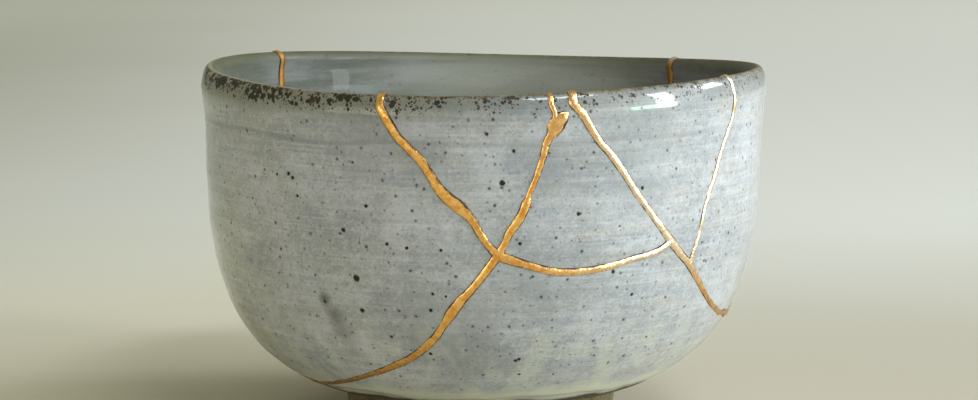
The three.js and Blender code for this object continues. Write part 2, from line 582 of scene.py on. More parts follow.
@dataclass(frozen=True)
class BowlForm:
    """The bowl's sizes, the same as the solids', and where its skin lies."""

    body_radius: float = 58.8 * MM
    shoulder_level: float = 71.5 * MM
    belly_depth: float = 66.6 * MM
    belly_exponent: float = 3.5
    lip_wall: float = 3.9 * MM
    floor_wall: float = 5.7 * MM
    lip_rise: float = 2.0 * MM
    lip_flare: float = 1.1 * MM
    flare_height: float = 14.0 * MM
    foot_radius: float = 29.0 * MM
    foot_taper: float = 0.8 * MM
    foot_ring_width: float = 6.4 * MM
    foot_recess: float = 5.0 * MM
    recess_taper: float = 1.2 * MM
    foot_edge: float = 0.7 * MM
    rim_swing: float = 1.1 * MM
    rim_swing_angle: float = 74.0
    rim_tilt: float = 0.3 * MM
    rim_tilt_angle: float = -90.0
    out_of_round: float = 0.3 * MM
    out_of_round_angle: float = 20.0
    foot_offset: float = 0.85 * MM

    @property
    def foot_height(self) -> float:
        """Level at which the belly meets the foot."""
        bulge = 1 - (self.foot_radius / self.body_radius) ** self.belly_exponent
        return self.shoulder_level - self.belly_depth * bulge ** (1 / self.belly_exponent)

    @property
    def wall_height(self) -> float:
        """Height of the wall from the foot to the shoulder."""
        return self.shoulder_level - self.foot_height

    def turn_at(self, share: np.ndarray) -> np.ndarray:
        """The belly's turn at a share of the wall's height, 0 at the shoulder."""
        drop = (1 - share) * self.wall_height / self.belly_depth
        return np.arcsin(np.clip(drop, 0, 1) ** (self.belly_exponent / 2))

    def belly(self, turn: np.ndarray, across: float) -> np.ndarray:
        """The wall's profile.

        Args:
            turn: Turn of the belly in radians, 0 at the shoulder and a quarter circle at the middle.
            across: 0 on the outside and 1 on the inside.

        Returns:
            Rows of radius and level.
        """
        power = 2 / self.belly_exponent
        cosine = np.clip(np.cos(turn), 0, 1)
        sine = np.clip(np.sin(turn), 0, 1)
        radius = self.body_radius * cosine**power
        level = self.shoulder_level - self.belly_depth * sine**power
        inward_radius = -self.belly_depth * cosine ** (2 - power)
        inward_level = self.body_radius * sine ** (2 - power)
        inward = np.stack([inward_radius, inward_level], -1)
        inward /= np.linalg.norm(inward, axis=-1, keepdims=True)
        wall = self.lip_wall + (self.floor_wall - self.lip_wall) * sine**2
        return np.stack([radius, level], -1) + inward * (wall * across)[..., None]

    def lip(self, across: np.ndarray) -> np.ndarray:
        """The lip's round profile.

        Args:
            across: 0 on the outside and 1 on the inside.

        Returns:
            Rows of radius and level.
        """
        turn = np.pi * across
        radius = self.body_radius - self.lip_wall / 2 * (1 - np.cos(turn))
        return np.stack([radius, self.shoulder_level + self.lip_rise * np.sin(turn)], -1)

    def place(self, profile: np.ndarray, angle: np.ndarray) -> np.ndarray:
        """Puts points of the profile round the uneven bowl.

        Args:
            profile: Rows of radius and level.
            angle: Angle of each from the front, in degrees, growing to the right.

        Returns:
            Rows of x, y and z.
        """
        radius, level = profile[..., 0], profile[..., 1]
        share = np.clip((level - self.foot_height) / self.wall_height, 0, None)
        flare = np.clip(1 - (self.shoulder_level - level) / self.flare_height, 0, 1)
        oval = self.out_of_round * np.cos(np.radians(2 * (angle - self.out_of_round_angle))) * share**2
        radius = radius * (1 + (self.lip_flare * flare**2 + oval) / self.body_radius)
        rise = self.rim_swing * np.cos(np.radians(2 * (angle - self.rim_swing_angle)))
        rise = rise + self.rim_tilt * np.cos(np.radians(angle - self.rim_tilt_angle))
        x = radius * np.sin(np.radians(angle)) - self.foot_offset * (1 - np.clip(share, 0, 1))
        return np.stack([x, -radius * np.cos(np.radians(angle)), level + rise * share**2], -1)

    def wall_point(self, angle: np.ndarray, share: np.ndarray, across: float) -> np.ndarray:
        """The point of the wall at an angle and a share of its height, outside at 0 or inside at 1."""
        return self.place(self.belly(self.turn_at(share), np.full_like(share, across)), angle)

    def outer_spot(self, angle: float, share: float) -> np.ndarray:
        """One point of the outside, at an angle and a share of the wall's height."""
        return self.wall_point(np.array([float(angle)]), np.array([float(share)]), 0.0)[0]


# Where cracks meet, as angle in degrees and share of the wall's height.
MEETINGS = {(3, 0.554), (39.2, 0.561), (45.8, 0.474), (130, 0.3), (-230, 0.3), (-125, 0.15)}


class Side(enum.Enum):
    """Which faces of the wall a seam shows on."""

    THROUGH = "through"
    OUTSIDE = "outside"


@dataclass(frozen=True)
class Crack:
    """A crack's way over the wall, from the rim to its end.

    Attributes:
        name: The crack's name.
        stops: Angle in degrees, share of the wall's height and the seam's width in millimetres.
        side: Where the seam shows.
        wander: How far the crack strays from its way, in millimetres.
        wander_from: Length after which it strays, in millimetres.
        seed: Seed of its wandering.
    """

    name: str
    stops: tuple[tuple[float, float, float], ...]
    side: Side = Side.THROUGH
    wander: float = 0.0
    wander_from: float = 0.0
    seed: int = 1

    def samples(self, form: BowlForm, step: float) -> tuple[np.ndarray, np.ndarray, np.ndarray]:
        """Walks along the crack.

        Args:
            form: The bowl.
            step: Distance between samples in metres.

        Returns:
            Angles, shares of the height and widths in metres.
        """
        stops = np.array(self.stops)
        flat = np.stack([np.radians(stops[:, 0]) * form.body_radius, stops[:, 1] * form.wall_height], -1)
        gaps = np.linalg.norm(np.diff(flat, axis=0), axis=1)
        slopes = np.diff(flat, axis=0) / gaps[:, None]
        tangents = np.empty_like(flat)
        tangents[0], tangents[-1] = slopes[0], slopes[-1]
        weights = (gaps[1:] / (gaps[:-1] + gaps[1:]))[:, None]
        tangents[1:-1] = slopes[:-1] * weights + slopes[1:] * (1 - weights)
        way = np.concatenate([[0], np.cumsum(gaps)])
        at = np.linspace(0, way[-1], max(2, round(way[-1] / step) + 1))
        index = np.clip(np.searchsorted(way, at, side="right") - 1, 0, len(gaps) - 1)
        span = gaps[index][:, None]
        t = ((at - way[index]) / gaps[index])[:, None]
        points = (
            (2 * t**3 - 3 * t**2 + 1) * flat[index]
            + (t**3 - 2 * t**2 + t) * span * tangents[index]
            + (3 * t**2 - 2 * t**3) * flat[index + 1]
            + (t**3 - t**2) * span * tangents[index + 1]
        )
        pins = [place for place, stop in zip(way, self.stops) if stop[:2] in MEETINGS]
        points += self._strayed(at, [way[-1], *pins])
        widths = np.interp(at, way, stops[:, 2]) * MM
        return np.degrees(points[:, 0] / form.body_radius), points[:, 1] / form.wall_height, widths

    def _strayed(self, at: np.ndarray, pins: Sequence[float]) -> np.ndarray:
        """How far each sample strays, nothing at the end and where cracks meet.

        Args:
            at: Way of each sample along the crack.
            pins: Ways at which it doesn't stray.

        Returns:
            Rows of the shift round the bowl and up the wall.
        """
        draw = np.random.default_rng(self.seed)
        fade = np.clip((at / MM - self.wander_from) / STRAY_FADE, 0, 1)
        for pin in pins:
            fade = fade * np.clip(np.abs(pin - at) / MM / MEETING_FADE, 0, 1)
        stray = np.zeros((len(at), 2))
        for wave in STRAY_WAVES:
            phases = draw.uniform(0, 2 * np.pi, 2)
            stray += np.sin(2 * np.pi * at[:, None] / MM / wave + phases) * (wave / STRAY_WAVES[0]) ** 0.8
        return stray * (fade * self.wander * MM)[:, None]


CRACKS = (
    Crack(
        "front_left",
        (
            (-19.3, 1, 1.9), (-18.4, 0.975, 2.1), (-17.5, 0.951, 2.1), (-15.8, 0.907, 1.9),
            (-13.8, 0.875, 1.8), (-12, 0.847, 1.9), (-10.2, 0.807, 1.9), (-8.5, 0.763, 2.0),
            (-6.5, 0.727, 2.5), (-4.5, 0.702, 2.6), (-2, 0.661, 1.8), (-0.5, 0.621, 1.6),
            (1.5, 0.576, 1.6), (3, 0.554, 2.0), (6.5, 0.532, 1.9), (9, 0.519, 1.6),
            (14.3, 0.497, 1.6), (19.2, 0.495, 1.6), (24.8, 0.503, 1.5), (31, 0.522, 1.4),
            (35, 0.531, 1.5), (37.8, 0.547, 1.6), (39.2, 0.561, 1.8),
        ),
    ),
    Crack(
        "front_round",
        (
            (12.2, 1, 1.1), (12.8, 0.969, 1.2), (12.6, 0.93, 1.7), (11.5, 0.885, 1.6),
            (11, 0.847, 1.4), (10.2, 0.805, 1.25), (9.2, 0.761, 1.15), (8.3, 0.722, 1.1),
            (8.1, 0.712, 1.9), (6.8, 0.662, 1.9), (5, 0.62, 1.7), (4, 0.582, 1.4),
            (3, 0.554, 1.9), (1.8, 0.526, 1.8), (0, 0.488, 1.7), (-2, 0.448, 1.7),
            (-4.2, 0.409, 2.1), (-6, 0.372, 2.4), (-7.5, 0.336, 1.5), (-9.5, 0.294, 1.7),
            (-12.2, 0.255, 1.7), (-15.2, 0.223, 1.7), (-19, 0.195, 1.7), (-23.2, 0.17, 1.5),
            (-27.8, 0.146, 1.3), (-33.2, 0.121, 1.25), (-40, 0.097, 1.2), (-60, 0.058, 1.5),
            (-82, 0.05, 1.8), (-104, 0.085, 1.5), (-125, 0.15, 1.8), (-142, 0.22, 1.6),
            (-162, 0.275, 1.9), (-186, 0.3, 1.5), (-210, 0.275, 1.7), (-230, 0.3, 1.9),
        ),
        wander=0.45,
        wander_from=96,
        seed=5,
    ),
    Crack(
        "front_right",
        (
            (16.4, 1, 1.9), (18.2, 0.964, 1.7), (20, 0.92, 1.6), (22, 0.876, 1.5),
            (24, 0.843, 1.5), (26.3, 0.798, 1.7), (28.5, 0.752, 1.5), (30.2, 0.716, 1.5),
            (34.2, 0.644, 1.5), (37.8, 0.583, 1.7), (39.2, 0.561, 2.0), (42.5, 0.514, 1.7),
            (45.8, 0.474, 1.8), (48.5, 0.435, 1.5), (52.2, 0.385, 1.3), (57, 0.335, 1.2),
            (62.2, 0.3, 1.2), (67, 0.276, 1.2), (74, 0.258, 1.6), (92, 0.272, 1.9), (112, 0.308, 1.6),
            (130, 0.3, 2.0), (132, 0.297, 1.6),
        ),
        wander=0.4,
        wander_from=68,
        seed=9,
    ),
    Crack(
        "right",
        (
            (55.6, 1, 1.3), (56.1, 0.95, 1.4), (55.9, 0.91, 1.1), (54.5, 0.863, 1.2),
            (52.5, 0.796, 1.2), (51, 0.738, 1.3), (49.2, 0.68, 1.25), (48, 0.626, 1.1),
            (47.2, 0.562, 1.1), (46.2, 0.512, 1.3), (45.8, 0.474, 1.5),
        ),
    ),
    Crack(
        "back_right",
        ((131, 1, 1.9), (129.5, 0.9, 1.7), (130.5, 0.7, 2.1), (128, 0.5, 1.6), (130, 0.3, 2.0)),
        wander=0.35,
        wander_from=3,
        seed=13,
    ),
    Crack(
        "back_left",
        ((-126, 1, 1.9), (-125, 0.93, 2.1), (-124, 0.7, 1.7), (-127, 0.42, 1.6), (-125, 0.15, 2.0)),
        wander=0.35,
        wander_from=3,
        seed=17,
    ),
    Crack(
        "lip_chip",
        ((12.4, 0.908, 2.0), (12.9, 0.93, 3.3), (13.4, 0.945, 3.5), (14.1, 0.958, 2.9), (15.2, 0.973, 2.0)),
        side=Side.OUTSIDE,
    ),
)

# A spot on the outside of each sherd, as angle in degrees and share of the wall's height.
SHERD_SEATS = {
    "left_sherd": (-70, 0.6),
    "front_left_sherd": (-2, 0.88),
    "front_middle_sherd": (15, 0.7),
    "front_right_sherd": (40, 0.8),
    "right_sherd": (88, 0.65),
    "back_sherd": (180, 0.65),
    "base_sherd_with_foot": (20, 0.25),
}


@dataclass(frozen=True)
class SoftMark:
    """A round mark on the outside that fades towards its rim.

    Attributes:
        angle: Angle in degrees.
        share: Share of the wall's height.
        reach: Radius in millimetres at which it has faded.
        strength: Share of its tone, or for a dent its depth in millimetres.
    """

    angle: float
    share: float
    reach: float
    strength: float


# Pale patches: the first three are painted reflections of soft light on the front wall; the others are pale
# clouds in the glaze.
PALE_CLOUDS_AND_PAINTED_REFLECTIONS = (
    SoftMark(-0.6, 0.85, 5.5, 0.45),
    SoftMark(-14.5, 0.7, 5.0, 0.4),
    SoftMark(-16.5, 0.62, 4.0, 0.35),
    SoftMark(9.0, 0.9, 5.0, 0.3),
    SoftMark(-37.0, 0.3, 6.0, 0.4),
    SoftMark(-25.0, 0.26, 5.0, 0.35),
)
SMOKY_CLOUDS = (
    SoftMark(-8.0, 0.32, 15.0, 0.5),
    SoftMark(-1.0, 0.2, 14.0, 0.5),
    SoftMark(-22.0, 0.9, 12.0, 0.4),
    SoftMark(12.0, 0.8, 12.0, 0.45),
    SoftMark(-11.0, 0.86, 9.0, 0.4),
    SoftMark(30.0, 0.82, 16.0, 0.5),
    SoftMark(12.0, 0.45, 15.0, 0.4),
)
THUMB_DENT = (
    SoftMark(-33.0, 0.395, 3.0, 0.14),
    SoftMark(-31.0, 0.345, 4.0, 0.2),
    SoftMark(-29.5, 0.29, 4.5, 0.2),
    SoftMark(-28.8, 0.235, 4.0, 0.14),
)


def glaze_edge(bench: Bench, at: Wire) -> Wire:
    """Works out where the glaze stops above the foot, wavy round the bowl.

    Args:
        bench: The tree that it is worked out in.
        at: Place in millimetres.

    Returns:
        The level in millimetres.
    """
    waves = bench.noise(bench.stretch(at, (1.0, 1.0, 0.0)), 1 / EDGE_WAVE, 2.0) - 0.5
    return EDGE_LEVEL + waves * EDGE_SWING


@dataclass
class ThrownBody:
    """The whole bowl as thrown and glazed, before it broke.

    Attributes:
        form: The bowl's sizes.
        columns: Steps round the bowl.
        belly_rows: Steps down the outside.
        inner_rows: Steps down the inside.
        lip_rows: Steps over the lip.
        lip_fall: How far below the shoulder the lip's outer round begins.
        flare_top: Level at which the wall stops flaring out.
        flare_height: Height over which the wall flares out.
        ring_depth: Height of the throwing rings.
        dent_depth: Depth of the soft dents that the hands left.
        glaze_roll: Thickness of the glaze's lower edge.
        seed: Seed of everything random.
    """

    form: BowlForm
    columns: int = 560
    belly_rows: int = 150
    inner_rows: int = 96
    lip_rows: int = 22
    lip_fall: float = 4.5 * MM
    flare_top: float = 69.5 * MM
    flare_height: float = 12.0 * MM
    ring_depth: float = 0.1 * MM
    dent_depth: float = 0.35 * MM
    glaze_roll: float = 0.3 * MM
    seed: int = 3

    def profile(self) -> np.ndarray:
        """The half section, from the middle of the foot's underside round to the middle of the floor."""
        form = self.form
        ground = form.foot_radius - form.foot_taper
        recess = ground - form.foot_ring_width
        edge = form.foot_edge
        foot_turn = float(form.turn_at(np.array([0.0]))[0])
        under = [(x * (recess - form.recess_taper) / 12, form.foot_recess) for x in range(13)]
        corners = [(recess, edge), (recess + edge, 0.0), (ground - edge, 0.0), (ground, edge)]
        foot = self._rounded([under[-1], *corners, (form.foot_radius, form.foot_height)])
        turns = self._even_turns(foot_turn, self.belly_rows)[1:]
        outside = form.belly(turns, np.zeros_like(turns))
        half = 0.5 - 0.5 * np.cos(np.linspace(0, np.pi, self.lip_rows + 1)[1:-1])
        lip = form.lip((half + np.linspace(0, 1, self.lip_rows + 1)[1:-1]) / 2)
        turns = self._even_turns(math.pi / 2, self.inner_rows)[::-1]
        inside = form.belly(turns, np.ones_like(turns))
        inside[-1, 0] = 0.0
        wall = self._soft_lip(np.concatenate([outside, lip]))
        return np.concatenate([np.array(under[:-1]), foot, wall, inside])

    def _soft_lip(self, wall: np.ndarray) -> np.ndarray:
        """Draws the lip's outer round down the wall.

        Args:
            wall: Rows of radius and level, up the outside and over the lip.

        Returns:
            The rows with the softer round.
        """
        form = self.form
        start = form.shoulder_level - self.lip_fall
        outer = np.arange(len(wall)) <= int(np.argmax(wall[:, 1]))
        climb = np.clip((wall[:, 1] - start) / (self.lip_fall + form.lip_rise), 0, 1)
        plain = np.where(wall[:, 1] > form.shoulder_level, form.body_radius, wall[:, 0])
        leant = plain - form.lip_wall / 2 * (1 - np.sqrt(1 - climb**2))
        return np.stack([np.where(outer, leant, wall[:, 0]), wall[:, 1]], -1)

    @staticmethod
    def _rounded(corners: Sequence[tuple[float, float]]) -> np.ndarray:
        """Divides the foot's profile into even steps.

        Args:
            corners: The foot's corners as radius and level.

        Returns:
            Rows of radius and level.
        """
        points = np.array(corners)
        way = way_along(points)
        extra = np.arange(0, way[-1], 0.6 * MM)
        at = np.unique(np.concatenate([way, extra[np.abs(extra[:, None] - way).min(1) > 0.25 * MM]]))
        return np.stack([np.interp(at, way, points[:, 0]), np.interp(at, way, points[:, 1])], -1)

    def _even_turns(self, start: float, count: int) -> np.ndarray:
        """Spaces turns of the belly evenly along the profile.

        Args:
            start: The first turn in radians; the last is the shoulder's.
            count: Number of steps.

        Returns:
            The turns.
        """
        fine = np.linspace(start, 0, 2000)
        points = self.form.belly(fine, np.zeros_like(fine))
        way = way_along(points)
        return np.interp(np.linspace(0, way[-1], count + 1), way, fine)

    def tree(self) -> FormTree:
        """Builds the tree that turns the profile and shapes the uneven wall.

        Returns:
            The tree.
        """
        tree = FormTree("thrown_body")
        length = SocketKind.LENGTH
        columns = tree.input("Columns", SocketKind.COUNT)
        names = ("Body Radius", "Flare Top", "Foot Height", "Wall Height", "Lip Flare", "Flare Height")
        radius0, flare_top, foot, wall, lip_flare, flare_height = (tree.input(name, length) for name in names)
        names = ("Rim Swing", "Swing Angle", "Rim Tilt", "Tilt Angle", "Out Of Round", "Round Angle")
        swing, swing_angle, tilt, tilt_angle, oval, oval_angle = (tree.input(name, length) for name in names)
        names = ("Foot Offset", "Ring Depth", "Dent Depth", "Glaze Roll", "Seed")
        offset, ring_depth, dent_depth, glaze_roll, seed = (tree.input(name, length) for name in names)
        material = tree.input("Material", SocketKind.MATERIAL)

        section = tree.add("GeometryNodeMeshToCurve", None, {"Mesh": tree.start})
        round_way = tree.add("GeometryNodeCurvePrimitiveCircle", None, {"Resolution": columns, "Radius": 0.1})
        factor = tree.add("GeometryNodeSplineParameter")
        round_way = tree.store(round_way, "spin_angle", factor * (2 * math.pi))
        turned = tree.add("GeometryNodeCurveToMesh", None, {"Curve": round_way, "Profile Curve": section})

        angle, radius, level = tree.read("spin_angle"), tree.read("spin_radius"), tree.read("spin_level")
        share = ((level - foot) / wall).at_least(0.0)
        square = share * share
        flare = (1 - (flare_top - level) / flare_height).clamp()
        bulge = lip_flare * flare * flare + oval * (2 * (angle - oval_angle)).cosine() * square
        spread = radius * (1 + bulge / radius0)
        rise = (swing * (2 * (angle - swing_angle)).cosine() + tilt * (angle - tilt_angle).cosine()) * square
        x = spread * angle.sine() - offset * (1 - share.at_most(1.0))
        place = tree.vector(x, -(spread * angle.cosine()), level + rise)
        shaped = tree.add("GeometryNodeSetPosition", None, {"Geometry": turned, "Position": place})
        welded = tree.add("GeometryNodeMergeByDistance", None, {"Geometry": shaped, "Distance": 1e-6})

        relief = self._relief(tree, ring_depth, dent_depth, glaze_roll, seed)
        normal = tree.add("GeometryNodeInputNormal")
        push = {"Geometry": welded, "Offset": tree.scaled(normal, relief)}
        worked = tree.add("GeometryNodeSetPosition", None, push)
        drop = tree.vector(tree.read("spin_drop"), tree.read("spin_inside"), 0.0)
        worked = tree.store(worked, UV_NAME, drop, "FLOAT2", "CORNER")
        names = ("spin_angle", "spin_radius", "spin_level", "spin_drop", "spin_inside")
        tree.finish(tree.forget(worked, names), material)
        return tree

    def _relief(self, tree: FormTree, rings: Wire, dents: Wire, roll: Wire, seed: Wire) -> Wire:
        """Works out how far each point of the skin stands proud of the plain form.

        Args:
            tree: The tree.
            rings: Height of the throwing rings.
            dents: Depth of the soft dents.
            roll: Thickness of the glaze's lower edge.
            seed: Shift of the noises.

        Returns:
            The height in metres.
        """
        place = tree.add("GeometryNodeInputPosition")
        x, y, z = tree.parts(place)
        level, inside = tree.read("spin_level"), tree.read("spin_inside")
        at = tree.vector(x / MM + seed, y / MM, level / MM)
        low = level.ease(9.5 * MM, 15 * MM)
        clear_of_lip = tree.read("spin_drop").ease(0.5, 4.0)
        bands = tree.bands(at, 0.02, 0.42, 3.0, 0.6) - 0.5
        steps = tree.bands(at, 0.012, 0.16, 1.0) - 0.5
        broad = tree.noise(at, 1 / 26, 1.0) - 0.5
        rolled = 1 - ((level / MM - glaze_edge(tree, at)) / 1.1).size().ease(0.0, 1.0)
        outside = 1 - inside
        wall = (bands * rings * 2 + steps * dents * 1.1 + broad * dents * 1.4) * low * clear_of_lip
        unmoved = tree.vector(x / MM, y / MM, z / MM)
        for mark in THUMB_DENT:
            centre = self.form.outer_spot(mark.angle, mark.share) / MM
            wall = wall - tree.near(unmoved, centre, 0.0, mark.reach) * (mark.strength * MM)
        return wall + rolled * roll * outside

    def build(self, material: bpy.types.Material) -> bpy.types.Object:
        """Makes the whole body.

        Args:
            material: The glaze.

        Returns:
            The uncut bowl.
        """
        form = self.form
        profile = self.profile()
        count = len(profile)
        points = np.stack([profile[:, 0], np.zeros(count), profile[:, 1]], -1)
        crest = int(np.argmax(profile[:, 1]))
        way = way_along(profile)
        rows = {
            "spin_radius": profile[:, 0],
            "spin_level": profile[:, 1],
            "spin_drop": np.abs(way - way[crest]) / MM,
            "spin_inside": (np.arange(count) > crest).astype(float),
        }
        piece = marked_line("thrown_body", points, rows)
        values = {
            "Columns": self.columns,
            "Body Radius": form.body_radius,
            "Flare Top": self.flare_top,
            "Foot Height": form.foot_height,
            "Wall Height": form.wall_height,
            "Lip Flare": form.lip_flare,
            "Flare Height": self.flare_height,
            "Rim Swing": form.rim_swing,
            "Swing Angle": math.radians(form.rim_swing_angle),
            "Rim Tilt": form.rim_tilt,
            "Tilt Angle": math.radians(form.rim_tilt_angle),
            "Out Of Round": form.out_of_round,
            "Round Angle": math.radians(form.out_of_round_angle),
            "Foot Offset": form.foot_offset,
            "Ring Depth": self.ring_depth,
            "Dent Depth": self.dent_depth,
            "Glaze Roll": self.glaze_roll,
            "Seed": float(self.seed),
            "Material": material,
        }
        piece.data = self.tree().run(piece, values)
        face_outward(piece.data)
        return piece


def face_outward(mesh: bpy.types.Mesh) -> None:
    """Turns all faces of a closed mesh outward.

    Args:
        mesh: The mesh.
    """
    solid = bmesh.new()
    solid.from_mesh(mesh)
    bmesh.ops.recalc_face_normals(solid, faces=solid.faces[:])
    if solid.calc_volume(signed=True) < 0:
        bmesh.ops.reverse_faces(solid, faces=solid.faces[:])
    solid.to_mesh(mesh)
    solid.free()


@dataclass
class BrokenWall:
    """Cuts the thrown body along its cracks into sherds.

    Attributes:
        form: The bowl's sizes.
        slot_width: Width of a crack between two sherds.
        reach: How far a cutting blade stands out of the wall.
        step: Length of a blade's steps.
        lift: How far a blade stands over the rim.
        overrun: How far a blade runs past its crack's end.
    """

    form: BowlForm
    slot_width: float = 0.3 * MM
    reach: float = 2.0 * MM
    step: float = 0.8 * MM
    lift: float = 7 * MM
    overrun: float = 0.12 * MM

    def blade(self, crack: Crack, clay: bpy.types.Material) -> bpy.types.Object:
        """Makes the thin closed ribbon that cuts one crack.

        Args:
            crack: The crack.
            clay: Material that the broken faces get.

        Returns:
            The blade.
        """
        form = self.form
        angles, shares, _ = crack.samples(form, self.step)
        outside = form.wall_point(angles, shares, 0.0)
        inside = form.wall_point(angles, shares, 1.0)
        through = outside - inside
        through /= np.linalg.norm(through, axis=1, keepdims=True)
        outside, inside = outside + through * self.reach, inside - through * self.reach
        end = outside[-1] - outside[-2]
        end *= self.overrun / np.linalg.norm(end)
        outside[-1] += end
        inside[-1] += end
        lift = np.array([0, 0, self.lift])
        outside = np.concatenate([[outside[0] + lift], outside])
        inside = np.concatenate([[inside[0] + lift], inside])
        through = np.concatenate([[through[0]], through])
        middle = (outside + inside) / 2
        along = np.gradient(middle, axis=0)
        aside = np.cross(along, through)
        aside *= self.slot_width / 2 / np.linalg.norm(aside, axis=1, keepdims=True)
        loops = np.stack([outside - aside, outside + aside, inside + aside, inside - aside], 1)
        blade = closed_strip(crack.name + "_blade", loops)
        blade.data.materials.append(clay)
        return blade

    def cut(self, body: bpy.types.Object, blades: Sequence[bpy.types.Object]) -> list[bpy.types.Mesh]:
        """Cuts the body with all blades.

        Args:
            body: The uncut bowl.
            blades: The blades.

        Returns:
            The meshes of all loose pieces.
        """
        for blade in blades:
            combine(body, blade, Joining.CUT).material_mode = "TRANSFER"
        whole = evaluated_mesh(body)
        body.modifiers.clear()
        return loose_meshes(whole)


def closed_strip(name: str, loops: np.ndarray) -> bpy.types.Object:
    """Makes a closed tube from rows of points.

    Args:
        name: The object's name.
        loops: Points as [row, place in the row, coordinate].

    Returns:
        The object.
    """
    rows, around, _ = loops.shape
    faces = []
    for row in range(rows - 1):
        for place in range(around):
            beside = (place + 1) % around
            low, high = row * around, (row + 1) * around
            faces.append((low + place, low + beside, high + beside, high + place))
    faces.append(tuple(range(around))[::-1])
    faces.append(tuple((rows - 1) * around + place for place in range(around)))
    mesh = bpy.data.meshes.new(name)
    mesh.from_pydata(loops.reshape(-1, 3).tolist(), [], faces)
    face_outward(mesh)
    return place_in_scene(name, mesh)


def loose_meshes(mesh: bpy.types.Mesh, least: int = 200) -> list[bpy.types.Mesh]:
    """Splits a mesh into its loose pieces.

    Args:
        mesh: The mesh.
        least: Pieces with fewer vertices are crumbs and are left out.

    Returns:
        One mesh for each piece.
    """
    edges = np.zeros(len(mesh.edges) * 2, np.int64)
    mesh.edges.foreach_get("vertices", edges)
    edges = edges.reshape(-1, 2)
    label = np.arange(len(mesh.vertices))
    while True:
        lowest = np.minimum(label[edges[:, 0]], label[edges[:, 1]])
        new = label.copy()
        np.minimum.at(new, edges[:, 0], lowest)
        np.minimum.at(new, edges[:, 1], lowest)
        new = new[new]
        if np.array_equal(new, label):
            break
        label = new
    pieces = []
    for root, count in zip(*np.unique(label, return_counts=True)):
        if count < least:
            continue
        solid = bmesh.new()
        solid.from_mesh(mesh)
        solid.verts.ensure_lookup_table()
        others = [solid.verts[place] for place in np.flatnonzero(label != root).tolist()]
        bmesh.ops.delete(solid, geom=others, context="VERTS")
        bmesh.ops.dissolve_degenerate(solid, dist=SLIVER, edges=solid.edges[:])
        part = bpy.data.meshes.new("loose_piece")
        solid.to_mesh(part)
        solid.free()
        for material in mesh.materials:
            part.materials.append(material)
        pieces.append(part)
    return pieces


